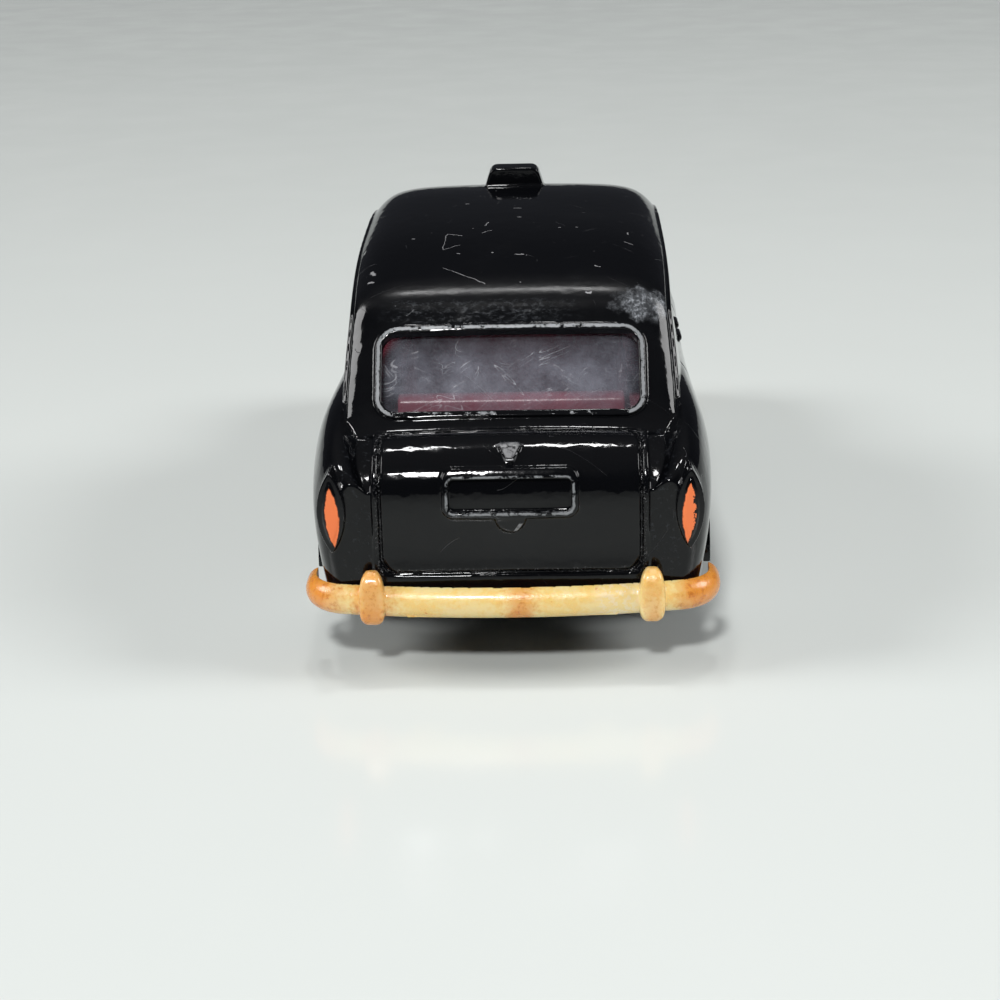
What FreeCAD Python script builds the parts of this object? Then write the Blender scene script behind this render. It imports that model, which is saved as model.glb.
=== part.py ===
import FreeCAD, Part
import math
import os

V = FreeCAD.Vector

# Toy taxi, millimetres. X to the right, Y to the front, Z up.
# The origin is on the ground, under the middle of the overall length.

# Whole toy
rear_overhang = 23.8
wheelbase = 66.9
front_overhang = 18.3
overall_length = rear_overhang + wheelbase + front_overhang
rear_axle_y = rear_overhang - overall_length / 2
front_axle_y = rear_axle_y + wheelbase
body_half_width = 20.6
sill_z = 7.5
crest_height = 17.5
crest_z = sill_z + crest_height
roof_height = 15.0
roof_top_z = crest_z + roof_height
plate_z = 4.9
wall = 1.2
overrun = 5.0
fit_gap = 0.1
seat_gap = 0.2

# Wheels and axles
tyre_radius = 7.5
tyre_width = 4.2
tyre_shoulder = 0.9
tyre_shoulder_share = 0.25
tyre_bore_radius = 5.0
tyre_groove_depth = 0.35
tyre_groove_width = 0.5
tyre_groove_share = 0.33
wheel_set = 3.1
track = 2 * (body_half_width - wheel_set)
hub_flange = 0.5
hub_dish_depth = 0.9
hub_dish_radius = 3.9
hub_cap_radius = 2.4
hub_cap_rise = 0.6
axle_radius = 0.8
axle_clearance = 0.05
axle_head_radius = 1.3
axle_head_thickness = 0.4
axle_head_gap = 0.15
arch_clearance = 1.4
arch_lip = 0.8
arch_lip_rise = 0.2
arch_inner_gap = 0.9
arch_inner_x = track / 2 - tyre_width / 2 - arch_inner_gap

# Lower body: outline of each section, from the tail to the nose
rear_bumper_stand = 3.2
front_bumper_stand = 3.1
body_tail_y = rear_bumper_stand - overall_length / 2
body_nose_y = overall_length / 2 - front_bumper_stand
sill_tuck = 0.9
bulge_height = 6.5
bulge_z = sill_z + bulge_height
shoulder_tuck = 0.35
shoulder_drop = 3.0
# Each row: place along the body, half width, crest height, crest inset, valley inset, valley drop
section_shares = (
    (0.0, 0.865, 0.80, 0.075, 0.17, 0.035),
    (0.012, 0.93, 0.84, 0.080, 0.20, 0.035),
    (0.045, 0.98, 0.905, 0.090, 0.22, 0.035),
    (0.10, 1.0, 0.965, 0.095, 0.23, 0.03),
    (0.20, 1.0, 0.99, 0.10, 0.23, 0.03),
    (0.37, 0.98, 0.985, 0.11, 0.25, 0.03),
    (0.54, 0.975, 0.985, 0.12, 0.27, 0.03),
    (0.70, 0.985, 0.965, 0.16, 0.33, 0.05),
    (0.84, 1.0, 0.925, 0.22, 0.42, 0.07),
    (0.94, 0.975, 0.87, 0.24, 0.46, 0.08),
    (0.985, 0.91, 0.815, 0.24, 0.46, 0.07),
    (1.0, 0.85, 0.77, 0.22, 0.44, 0.06),
)

# Cabin: side profile on the centre line, from the windscreen foot to the shelf
cabin_floor_drop = 7.0
cabin_floor_z = crest_z - cabin_floor_drop
scuttle_length = 11.4
screen_foot_rise = 1.0
screen_foot_y = front_axle_y - scuttle_length
screen_foot_z = crest_z + screen_foot_rise
screen_run = 9.2
header_drop = 2.0
header_y = screen_foot_y - screen_run
header_z = roof_top_z - header_drop
boot_length = 7.0
shelf_drop = 1.7
shelf_y = body_tail_y + boot_length
shelf_z = crest_z - shelf_drop
rear_window_foot_run = 1.8
rear_window_foot_rise = 1.4
rear_window_foot_y = shelf_y + rear_window_foot_run
rear_window_foot_z = shelf_z + rear_window_foot_rise
rear_window_run = 6.0
rear_window_top_y = rear_window_foot_y + rear_window_run
rear_turn_run = 2.4
rear_turn_y = rear_window_top_y + rear_turn_run
roof_rear_run = 3.7
roof_rear_drop = 3.0
roof_rear_y = rear_turn_y + roof_rear_run
roof_rear_z = roof_top_z - roof_rear_drop
rear_turn_drop = 1.5
rear_turn_z = roof_rear_z - rear_turn_drop
rear_window_drop = 3.1
rear_window_top_z = rear_turn_z - rear_window_drop
roof_slope_run = 8.5
roof_slope_drop = 1.1
roof_slope_y = roof_rear_y + roof_slope_run
roof_slope_z = roof_top_z - roof_slope_drop
# Where the flat of the roof starts and ends, between the rear slope and the header
roof_flat_shares = (0.346, 0.691)
cabin_set = 1.8
cabin_half_width = body_half_width - cabin_set
tumblehome = 0.165
roof_camber = 3.1
# How the cabin's skin falls away from the centre line to the gutter
fan_shares = (0.0, 0.30, 0.58, 0.78, 0.90, 0.97, 1.04)
camber_shares = (0.0, 0.01, 0.05, 0.15, 0.36, 0.68, 1.15)
# Half width of the cabin in plan, from front to rear, and where each is
cabin_plan_shares = (0.90, 0.985, 1.0, 0.985, 0.945, 0.865)
cabin_plan_place_shares = (0.0, 0.20, 0.46, 0.68, 0.84, 1.0)
gutter_height = 0.5
gutter_rise = 0.4

# Bonnet
bonnet_set = 7.2
bonnet_half_width = body_half_width - bonnet_set
bonnet_rear_rise = 1.3
bonnet_rear_z = crest_z + bonnet_rear_rise
bonnet_nose_set = 0.2
bonnet_nose_y = body_nose_y - bonnet_nose_set
bonnet_base_rise = 2.5
bonnet_base_z = sill_z + bonnet_base_rise
bonnet_side_share = 0.84
bonnet_round_share = 0.72
bonnet_round_drop_share = 0.045
# Each row: place from the windscreen foot to the nose, half width, height
bonnet_shares = (
    (-0.15, 1.0, 1.0),
    (0.25, 0.93, 0.985),
    (0.60, 0.80, 0.955),
    (0.86, 0.66, 0.90),
    (1.0, 0.58, 0.82),
)

# Boot
boot_set = 6.7
boot_half_width = body_half_width - boot_set
boot_top_rise = 0.3
boot_top_z = shelf_z + boot_top_rise
boot_edge_run = 4.8
boot_edge_drop = 0.25
boot_edge_y = shelf_y - boot_edge_run
boot_edge_z = boot_top_z - boot_edge_drop
boot_round_stand = 0.35
boot_round_drop = 2.75
boot_round_y = body_tail_y - boot_round_stand
boot_round_z = boot_edge_z - boot_round_drop
boot_full_stand = 0.72
boot_full_drop = 4.8
boot_full_y = body_tail_y - boot_full_stand
boot_full_z = boot_round_z - boot_full_drop
boot_foot_stand = 0.8
boot_foot_rise = 2.9
boot_foot_y = body_tail_y - boot_foot_stand
boot_foot_z = sill_z + boot_foot_rise
boot_overlap = 6.4
boot_front_y = shelf_y + boot_overlap
boot_camber = 0.35
boot_fan_shares = (-1.0, -0.6, 0.0, 0.6, 1.0)
boot_lid_set = 0.6
boot_lid_half_width = boot_half_width - boot_lid_set
boot_lid_top_run = 0.8
boot_lid_top_y = shelf_y - boot_lid_top_run
boot_lid_corner = 2.0
shut_line = 0.35
shut_depth = 0.35

# Number plate housing and boot furniture
number_plate_half_width = 6.8
number_plate_height = 5.0
number_plate_rise_above_round = 1.1
number_plate_top_z = boot_round_z + number_plate_rise_above_round
number_plate_foot_z = number_plate_top_z - number_plate_height
number_plate_frame = 0.6
number_plate_brow = 1.0
number_plate_rise = 0.45
number_plate_recess = 0.3
number_plate_corner = 1.1
boot_handle_half_width = 1.4
boot_handle_low_share = 0.25
boot_handle_height = 1.3
boot_handle_rise = 0.5
boot_handle_reach = 0.6
lock_radius = 1.5
lock_rise = 0.35

# Windows
rear_window_set = 4.7
rear_window_half_width = cabin_half_width - rear_window_set
rear_window_corner = 2.4
rear_window_frame = 0.75
rear_window_trim = 0.4
rear_window_frame_rise = 0.35
screen_set = 5.2
screen_half_width = cabin_half_width - screen_set
screen_top_drop = 1.6
screen_top_z = header_z - screen_top_drop
screen_low_rise = 1.4
screen_low_z = screen_foot_z + screen_low_rise
screen_top_share = 0.95
screen_corner = 1.6
side_window_rise = 1.4
side_window_low_z = crest_z + side_window_rise
side_window_drop = 2.6
side_window_top_z = header_z - side_window_drop
side_window_corner = 1.2
front_door_set = 4.4
front_door_y = screen_foot_y - front_door_set
front_door_length = 19.4
door_split_y = front_door_y - front_door_length
rear_door_set = 10.1
rear_door_y = rear_axle_y + rear_door_set
door_margin = 1.5
door_low_rise = 1.3
door_low_z = sill_z + door_low_rise
door_top_drop = 1.8
door_top_z = header_z - door_top_drop
door_corner = 2.0
screen_lean = 6.2
rear_door_lean = 2.6
handle_length = 3.2
handle_radius = 0.45
handle_set = 1.2
handle_drop = 2.2
handle_z = crest_z - handle_drop

# Roof sign
sign_run = 9.6
sign_y = header_y - sign_run
sign_base_width = 7.9
sign_top_width = 5.6
sign_rise = 2.2
sign_top_z = roof_top_z + sign_rise
sign_depth = 3.4
sign_corner = 1.1
sign_sink = 1.4
sign_seat_z = roof_top_z - sign_sink

# Lamps
tail_lamp_set = 2.6
tail_lamp_x = body_half_width - tail_lamp_set
tail_lamp_height_above_sill = 9.9
tail_lamp_z = sill_z + tail_lamp_height_above_sill
tail_lamp_height = 8.6
tail_lamp_width = 2.8
tail_lamp_rise = 0.9
tail_lens_height = 6.3
tail_lens_width = 1.5
tail_lens_rise = 0.3
headlamp_set = 7.0
headlamp_x = body_half_width - headlamp_set
headlamp_drop = 7.6
headlamp_z = crest_z - headlamp_drop
headlamp_rim_radius = 3.1
headlamp_radius = 2.5
headlamp_pod_length = 5.0
headlamp_stand = 0.4
headlamp_front_y = body_nose_y + headlamp_stand
lens_rim = 0.6
lens_dome = 0.7
sidelight_radius = 0.8
sidelight_drop = 4.4
sidelight_z = headlamp_z - sidelight_drop
sidelight_rise = 0.5

# Grille
grille_half_width = 6.2
grille_top_drop = 4.8
grille_top_z = crest_z - grille_top_drop
grille_foot_rise = 3.3
grille_foot_z = sill_z + grille_foot_rise
grille_corner = 1.6
grille_frame = 0.8
grille_depth = 1.2
grille_seat_depth = 0.7
grille_bars = 10
grille_bar_width = 0.35
grille_back = 0.4

# Bumpers
bumper_overhang = 0.7
bumper_half_width = body_half_width + bumper_overhang
bumper_rise = 0.6
bumper_z = sill_z + bumper_rise
bumper_height = 3.3
bumper_thickness = 1.2
bumper_bow_radius = 90.0
bumper_corner = 3.6
bumper_return = 1.6
overrider_set = 7.2
overrider_x = bumper_half_width - overrider_set
overrider_width = 2.6
overrider_height = 5.6
overrider_depth = 2.0
overrider_lift = 0.5
overrider_z = bumper_z + overrider_lift
# Height and girth of an overrider's sections
overrider_height_shares = (0.0, 0.12, 0.5, 0.85, 1.0)
overrider_girth_shares = (0.5, 0.88, 1.0, 0.82, 0.4)
lug_set = 5.0
lug_x = overrider_x - lug_set
lug_width = 3.0
lug_rise = 1.75
lug_z = plate_z + lug_rise
lug_height = 0.6

# Base plate
plate_thickness = 0.9
plate_rim_rise = 0.6
plate_rim_z = sill_z + plate_rim_rise
plate_side_gap = 0.9
plate_half_width = body_half_width - sill_tuck - wall - plate_side_gap
plate_draft = 1.3
plate_tail_gap = 0.4
plate_nose_gap = 0.8
plate_tail_y = body_tail_y + wall + plate_tail_gap
plate_nose_y = body_nose_y - wall - plate_nose_gap
plate_plan_corner = 6.0
plate_wheel_notch = 1.7
plate_notch_gap = 0.6
plate_notch_x = arch_inner_x - plate_notch_gap
rest_panel_rise = 0.3
rest_panel_half_width = 9.0
rest_panel_tail_set = 12.7
rest_panel_nose_set = 14.2
rest_panel_tail_y = rear_axle_y + rest_panel_tail_set
rest_panel_nose_y = front_axle_y - rest_panel_nose_set
rest_panel_corner = 2.0
rib_radius = 0.8
guide_set = 2.1
guide_x = plate_notch_x - guide_set
guide_thickness = 1.0
guide_length = 5.0

# Low relief under the base plate: sump, shaft, differential, silencer, springs
relief_corner = 0.6
sump_half_width = 4.0
sump_length = 9.5
sump_set = 4.0
arm_half_width = 1.1
arm_set = 5.6
shaft_half_width = 0.9
differential_radius = 3.2
spring_relief_half_width = 1.1
spring_relief_half_length = 6.5
silencer_x = 6.4
silencer_half_width = 1.8
silencer_length = 8.0
pipe_half_width = 0.65

# Feet that keep the axles down: the front pair on the casting, the rear pair on the tub
keeper_set = 3.2
keeper_x = guide_x - keeper_set
keeper_width = 1.6
keeper_length = 3.0

# Screws and posts
front_post_set = 7.2
front_post_y = front_axle_y - front_post_set
rear_post_set = 3.8
rear_post_y = plate_tail_y + rear_post_set
post_radius = 2.2
screw_radius = 0.9
screw_head_radius = 1.9
screw_head_height = 0.6
screw_length = 7.0
screw_slot_width = 0.5
screw_slot_depth = 0.3

# Interior
tub_rise = 5.0
tub_z = plate_z + tub_rise
tub_thickness = 0.9
tub_side_gap = 0.9
tub_half_width = arch_inner_x - tub_side_gap
tub_tail_set = 4.0
tub_nose_set = 2.2
tub_tail_y = shelf_y + tub_tail_set
tub_nose_y = screen_foot_y - tub_nose_set
tub_flange_drop = 3.6
tub_flange_z = crest_z - tub_flange_drop
tub_flange_set = 2.8
tub_flange_x = cabin_half_width - tub_flange_set
tub_corner = 1.5
bench_depth = 11.0
bench_height = 6.0
bench_back = 2.6
bench_back_set = 2.2
bench_top_rise = 0.4
bench_top_z = crest_z + bench_top_rise
bench_round = 1.0
partition_set = 21.1
partition_y = tub_nose_y - partition_set
partition_drop = 0.8
partition_z = crest_z - partition_drop
driver_seat_set = 6.4
driver_seat_x = tub_half_width - driver_seat_set
driver_seat_width = 8.4
driver_seat_depth = 7.0
dash_drop = 2.0
dash_z = crest_z - dash_drop
dash_depth = 2.6

# Steering wheel
steering_set = 6.6
steering_y = tub_nose_y - steering_set
steering_lift = 0.4
steering_z = dash_z + steering_lift
steering_radius = 3.2
steering_rim = 0.4
steering_hub = 0.8
steering_lean = 35.0

# Glazing
glass = 0.8
glass_foot_drop = 2.4
glass_foot_z = crest_z - glass_foot_drop


def line(a, b):
    """A straight edge."""
    return Part.makeLine(a, b)


def spline(points):
    """A smooth edge through the points."""
    curve = Part.BSplineCurve()
    curve.interpolate(points)
    return curve.toShape()


def mirrored(shape):
    """The same shape on the other side of the centre line."""
    return shape.mirror(V(0, 0, 0), V(1, 0, 0))


def block(x0, x1, y0, y1, z0, z1):
    """A box between two corners."""
    return Part.makeBox(x1 - x0, y1 - y0, z1 - z0, V(x0, y0, z0))


def rod(radius, length, start, direction):
    """A round bar."""
    return Part.makeCylinder(radius, length, start, direction)


def rounded_face(corners, radius):
    """A flat face with straight sides and round corners, from its corner points in order."""
    count = len(corners)
    rounds = []
    for i, corner in enumerate(corners):
        before = (corners[i - 1] - corner).normalize()
        after = (corners[(i + 1) % count] - corner).normalize()
        half = before.getAngle(after) / 2
        back = radius / math.tan(half)
        inward = (before + after).normalize() * (radius / math.sin(half) - radius)
        rounds.append(Part.Arc(corner + before * back, corner + inward, corner + after * back))
    edges = []
    for i, arc in enumerate(rounds):
        edges.append(arc.toShape())
        edges.append(line(arc.EndPoint, rounds[(i + 1) % count].StartPoint))
    return Part.Face(Part.Wire(edges))


def upright_panel(half_low, half_high, z_low, z_high, radius, y0, y1):
    """A prism along Y with the outline of a round-cornered trapezoid."""
    corners = [V(-half_low, y0, z_low), V(half_low, y0, z_low)]
    corners += [V(half_high, y0, z_high), V(-half_high, y0, z_high)]
    return rounded_face(corners, radius).extrude(V(0, y1 - y0, 0))


def side_panel(corners_yz, radius, reach):
    """A prism across the whole width with a round-cornered outline seen from the side."""
    corners = [V(-reach, y, z) for y, z in corners_yz]
    return rounded_face(corners, radius).extrude(V(2 * reach, 0, 0))


def flat_panel(x0, x1, y0, y1, radius, z0, z1):
    """A prism upwards with a round-cornered rectangular plan."""
    corners = [V(x0, y0, z0), V(x1, y0, z0), V(x1, y1, z0), V(x0, y1, z0)]
    return rounded_face(corners, radius).extrude(V(0, 0, z1 - z0))


def moved_in(points, distance):
    """A side profile moved inwards, square to its own run at every point."""
    result = []
    for i, point in enumerate(points):
        ahead = points[min(i + 1, len(points) - 1)]
        behind = points[max(i - 1, 0)]
        run = math.hypot(ahead[0] - behind[0], ahead[1] - behind[1])
        across_y = (ahead[1] - behind[1]) / run
        across_z = (behind[0] - ahead[0]) / run
        result.append((point[0] - across_y * distance, point[1] - across_z * distance))
    return result


def along_body(share, inset):
    """Place along the lower body, from its tail to its nose."""
    tail = body_tail_y + inset
    nose = body_nose_y - inset
    return tail + share * (nose - tail)


def lower_section(row, inset, floor_z):
    """One cross-section of the lower body: sill, bulging side, wing crest and the valley inside it."""
    place, width_share, crest_share, crest_in_share, valley_in_share, drop_share = row
    y = along_body(place, inset)
    half = body_half_width * width_share - inset
    top = crest_z * crest_share - inset
    crest_x = half - body_half_width * crest_in_share
    valley_x = half - body_half_width * valley_in_share
    side = [
        (half - sill_tuck, floor_z),
        (half, bulge_z),
        (half - shoulder_tuck, top - shoulder_drop),
        (crest_x, top),
        (valley_x, top - crest_z * drop_share),
    ]
    right = [V(x, y, z) for x, z in side]
    left = [V(-x, y, z) for x, z in reversed(side)]
    edges = [spline(right), line(right[-1], left[0]), spline(left), line(left[-1], right[0])]
    return Part.Wire(edges)


def lower_form(inset, floor_z):
    """The lower body with its four wings, moved inwards by the inset."""
    wires = [lower_section(row, inset, floor_z) for row in section_shares]
    return Part.makeLoft(wires, True, False)


def cabin_width_at(z):
    """Half width of the cabin at a height, before the plan curve."""
    return cabin_half_width - tumblehome * (z - crest_z)


def roof_flat_y(share):
    """Place along the roof, from the rear slope to the header."""
    return roof_slope_y + share * (header_y - roof_slope_y)


def cabin_profile():
    """Side profile of the cabin on the centre line, from the windscreen foot over the roof to the shelf."""
    return [
        (screen_foot_y, screen_foot_z),
        ((screen_foot_y + header_y) / 2, (screen_foot_z + header_z) / 2),
        (header_y, header_z),
        (roof_flat_y(roof_flat_shares[1]), roof_top_z),
        (roof_flat_y(roof_flat_shares[0]), roof_top_z),
        (roof_slope_y, roof_slope_z),
        (roof_rear_y, roof_rear_z),
        (rear_turn_y, rear_turn_z),
        (rear_window_top_y, rear_window_top_z),
        ((rear_window_top_y + rear_window_foot_y) / 2, (rear_window_top_z + rear_window_foot_z) / 2),
        (rear_window_foot_y, rear_window_foot_z),
        (shelf_y, shelf_z),
    ]


def cabin_wire(fan, camber, inset, floor_z):
    """One lengthwise outline of the cabin, in a plane that leans with the tumblehome."""
    points = moved_in(cabin_profile(), inset + camber * roof_camber)
    screen = points[:3]
    roof = points[2:]

    def place(y, z):
        return V(fan * cabin_width_at(z), y, z)

    screen_foot = place(screen[0][0], floor_z)
    shelf_foot = place(roof[-1][0], floor_z)
    edges = [
        line(screen_foot, place(*screen[0])),
        line(place(*screen[0]), place(*screen[2])),
        spline([place(*point) for point in roof]),
        line(place(*roof[-1]), shelf_foot),
        line(shelf_foot, screen_foot),
    ]
    return Part.Wire(edges)


def cabin_skin(inset, floor_z):
    """The cambered roof, rear panel and windscreen as one lengthwise form."""
    rows = list(zip(fan_shares, camber_shares))
    rows = [(-fan, camber) for fan, camber in reversed(rows[1:])] + rows
    wires = [cabin_wire(fan, camber, inset, floor_z) for fan, camber in rows]
    return Part.makeLoft(wires, True, False)


def cabin_plan(z, inset):
    """Plan outline of the cabin sides at a height."""
    front = screen_foot_y + wall
    rear = shelf_y - wall
    side = []
    for share, place in zip(cabin_plan_shares, cabin_plan_place_shares):
        half = cabin_width_at(z) * share - inset
        side.append((half, front + place * (rear - front)))
    right = [V(x, y, z) for x, y in side]
    left = [V(-x, y, z) for x, y in reversed(side)]
    edges = [spline(right), line(right[-1], left[0]), spline(left), line(left[-1], right[0])]
    return Part.Wire(edges)


def cabin_sides(inset, floor_z):
    """The leaning, curved sides of the cabin."""
    return Part.makeLoft([cabin_plan(floor_z, inset), cabin_plan(roof_top_z + overrun, inset)], True, True)


def cabin_form(inset, floor_z):
    """The cabin above the waist, moved inwards by the inset."""
    return cabin_skin(inset, floor_z).common(cabin_sides(inset, floor_z))


def bonnet_section(row, inset, floor_z):
    """One cross-section of the bonnet: upright sides under an arched top."""
    place, width_share, height_share = row
    y = screen_foot_y + place * (bonnet_nose_y - inset - screen_foot_y)
    half = bonnet_half_width * width_share - inset
    top = bonnet_rear_z * height_share - inset
    side_z = top * bonnet_side_share
    round_z = top - bonnet_rear_z * bonnet_round_drop_share
    side = [(half, side_z), (half * bonnet_round_share, round_z)]
    arch = side + [(0, top)] + [(-x, z) for x, z in reversed(side)]
    points = [V(x, y, z) for x, z in arch]
    low_right = V(half, y, floor_z)
    low_left = V(-half, y, floor_z)
    edges = [line(low_right, points[0]), spline(points)]
    edges += [line(points[-1], low_left), line(low_left, low_right)]
    return Part.Wire(edges)


def bonnet_form(inset, floor_z):
    """The bonnet and the nose that carries the grille."""
    return Part.makeLoft([bonnet_section(row, inset, floor_z) for row in bonnet_shares], True, False)


def boot_wire(fan, inset, floor_z):
    """One lengthwise outline of the boot."""
    profile = [
        (shelf_y, boot_top_z),
        (boot_edge_y, boot_edge_z),
        (boot_round_y, boot_round_z),
        (boot_full_y, boot_full_z),
        (boot_foot_y, boot_foot_z),
    ]
    points = moved_in(profile, inset + boot_camber * fan * fan)
    x = fan * (boot_half_width - inset)
    skin = [V(x, y, z) for y, z in points]
    front_high = V(x, boot_front_y, skin[0].z)
    front_low = V(x, boot_front_y, floor_z)
    tail_low = V(x, skin[-1].y, floor_z)
    edges = [
        line(front_low, front_high),
        line(front_high, skin[0]),
        spline(skin),
        line(skin[-1], tail_low),
        line(tail_low, front_low),
    ]
    return Part.Wire(edges)


def boot_form(inset, floor_z):
    """The boot between the rear wings."""
    return Part.makeLoft([boot_wire(fan, inset, floor_z) for fan in boot_fan_shares], True, False)


def hull(inset, drop):
    """The whole outer form of the casting, moved inwards by the inset, its floors lowered by the drop."""
    cabin = cabin_form(inset, cabin_floor_z - drop)
    bonnet = bonnet_form(inset, bonnet_base_z - drop)
    boot = boot_form(inset, sill_z - drop)
    return lower_form(inset, sill_z - drop).fuse((cabin, bonnet, boot))


def rear_window_prism(margin):
    """A prism through the rear window's surround, square to the glass, smaller by the margin all round."""
    up = V(0, rear_window_top_y - rear_window_foot_y, rear_window_top_z - rear_window_foot_z)
    height = up.Length / 2 + rear_window_frame - rear_window_trim - margin
    up = up.normalize()
    out = V(0, -up.z, up.y)
    middle_y = (rear_window_top_y + rear_window_foot_y) / 2
    middle_z = (rear_window_top_z + rear_window_foot_z) / 2
    centre = V(0, middle_y, middle_z) - out * overrun
    half = rear_window_half_width - margin
    corners = []
    for across, along in ((-1, -1), (1, -1), (1, 1), (-1, 1)):
        corners.append(centre + V(across * half, 0, 0) + up * (along * height))
    return rounded_face(corners, rear_window_corner - margin).extrude(out * (2 * overrun))


def screen_prism():
    """A prism through the windscreen."""
    return upright_panel(screen_half_width, screen_half_width * screen_top_share, screen_low_z, screen_top_z,
                         screen_corner, header_y - overrun, screen_foot_y + overrun)


def front_door_outline(margin):
    """Corners of the front door seen from the side: sill, windscreen post, roof, centre post."""
    return [
        (door_split_y + margin, door_low_z + margin),
        (front_door_y - margin, door_low_z + margin),
        (front_door_y - margin, screen_foot_z),
        (front_door_y - screen_lean, door_top_z - margin),
        (door_split_y + margin, door_top_z - margin),
    ]


def rear_door_outline(margin):
    """Corners of the rear door, whose rear edge clears the wheel arch."""
    arch_edge = rear_axle_y + tyre_radius + arch_clearance + arch_lip + door_margin
    return [
        (arch_edge + margin, door_low_z + margin),
        (door_split_y - margin, door_low_z + margin),
        (door_split_y - margin, door_top_z - margin),
        (rear_door_y + rear_door_lean + margin, door_top_z - margin),
        (rear_door_y + margin, screen_foot_z),
        (rear_door_y + margin, 2 * tyre_radius + arch_clearance + door_margin),
    ]


def front_window():
    """Corners of the front door's window."""
    return [
        (door_split_y + door_margin, side_window_low_z),
        (front_door_y - door_margin, side_window_low_z),
        (front_door_y - screen_lean - door_margin, side_window_top_z),
        (door_split_y + door_margin, side_window_top_z),
    ]


def rear_window():
    """Corners of the rear door's window."""
    return [
        (rear_door_y + door_margin, side_window_low_z),
        (door_split_y - door_margin, side_window_low_z),
        (door_split_y - door_margin, side_window_top_z),
        (rear_door_y + rear_door_lean + door_margin, side_window_top_z),
    ]


def wheel_centres():
    """Each wheel's name, its side and its axle's place."""
    return [
        ("front_left", -1, front_axle_y),
        ("front_right", 1, front_axle_y),
        ("rear_left", -1, rear_axle_y),
        ("rear_right", 1, rear_axle_y),
    ]


def arch(axle_y, radius, x0, x1):
    """A round wheel arch on both sides of the body."""
    right = rod(radius, x1 - x0, V(x0, axle_y, tyre_radius), V(1, 0, 0))
    return right.fuse(mirrored(right))


def gutters():
    """The drip rail that runs over each side of the roof and down to the waist."""
    inner = cabin_profile_prism(roof_camber + gutter_height)
    outer = cabin_profile_prism(roof_camber - gutter_height / 2)
    rail = outer.cut(inner).common(cabin_sides(-gutter_rise, crest_z))
    middle = block(-header_half_width(), header_half_width(), shelf_y - overrun, screen_foot_y + overrun, 0,
                   roof_top_z + overrun)
    return rail.cut(middle)


def header_half_width():
    """Half width of the roof between the gutters."""
    return cabin_width_at(roof_top_z) * min(cabin_plan_shares)


def cabin_profile_prism(distance):
    """The cabin's side profile, moved in by a distance, right across the body."""
    points = moved_in(cabin_profile(), distance)
    reach = body_half_width
    screen = [V(-reach, y, z) for y, z in points[:3]]
    roof = [V(-reach, y, z) for y, z in points[2:]]
    foot_front = V(-reach, screen[0].y, sill_z)
    foot_rear = V(-reach, roof[-1].y, sill_z)
    edges = [
        line(foot_front, screen[0]),
        line(screen[0], screen[2]),
        spline(roof),
        line(roof[-1], foot_rear),
        line(foot_rear, foot_front),
    ]
    return Part.Face(Part.Wire(edges)).extrude(V(2 * reach, 0, 0))


def pointed_oval(x, z, width, height, y, depth):
    """A prism towards the rear with two arcs that meet in a point above and below."""
    low = V(x, y, z - height / 2)
    high = V(x, y, z + height / 2)
    left = Part.Arc(low, V(x - width / 2, y, z), high).toShape()
    right = Part.Arc(high, V(x + width / 2, y, z), low).toShape()
    return Part.Face(Part.Wire([left, right])).extrude(V(0, -depth, 0))


def tail_lamp():
    """The right tail lamp: a pointed housing with a raised lens."""
    start = body_tail_y + overrun
    housing = pointed_oval(tail_lamp_x, tail_lamp_z, tail_lamp_width, tail_lamp_height, start,
                           overrun + tail_lamp_rise)
    lens = pointed_oval(tail_lamp_x, tail_lamp_z, tail_lens_width, tail_lens_height, start,
                        overrun + tail_lamp_rise + tail_lens_rise)
    return housing.fuse(lens)


def headlamp_pod():
    """The right headlamp's tapering pod with its hollow for the lens."""
    pod = Part.makeCone(headlamp_radius, headlamp_rim_radius, headlamp_pod_length,
                        V(headlamp_x, headlamp_front_y - headlamp_pod_length, headlamp_z), V(0, 1, 0))
    sidelight_start = body_nose_y + sidelight_rise - overrun
    sidelight = rod(sidelight_radius, overrun, V(headlamp_x, sidelight_start, sidelight_z), V(0, 1, 0))
    return pod.fuse(sidelight)


def headlamp_hollow():
    """The seat of the right headlamp's lens."""
    return rod(headlamp_radius, lens_rim + overrun, V(headlamp_x, headlamp_front_y - lens_rim, headlamp_z),
               V(0, 1, 0))


def roof_sign():
    """The solid sign on the front of the roof, narrower at its top."""
    return upright_panel(sign_base_width / 2, sign_top_width / 2, sign_seat_z, sign_top_z, sign_corner,
                         sign_y - sign_depth / 2, sign_y + sign_depth / 2)


def door_handles():
    """The handle of each door on both sides."""
    handles = []
    for y in (door_split_y + door_margin, door_split_y - door_margin - handle_length):
        bar = rod(handle_radius, handle_length, V(body_half_width - handle_set, y, handle_z), V(0, 1, 0))
        handles.append(bar)
        handles.append(mirrored(bar))
    return handles


def boot_panel(half, low, high, corner):
    """An upright prism through the boot's tail."""
    return upright_panel(half, half, low, high, corner, boot_foot_y - overrun, boot_edge_y + overrun)


def boot_lid_prism(margin):
    """A prism through the boot lid, square to the line from its foot to its top, smaller by the margin."""
    foot = V(0, boot_foot_y, boot_foot_z + shut_line)
    up = V(0, boot_lid_top_y, boot_top_z) - foot
    length = up.Length
    up = up.normalize()
    out = V(0, -up.z, up.y)
    half = boot_lid_half_width - margin
    corners = []
    for across, along in ((-1, margin), (1, margin), (1, length - margin), (-1, length - margin)):
        corners.append(foot - out * overrun + V(across * half, 0, 0) + up * along)
    return rounded_face(corners, boot_lid_corner - margin).extrude(out * (3 * overrun))


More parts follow.
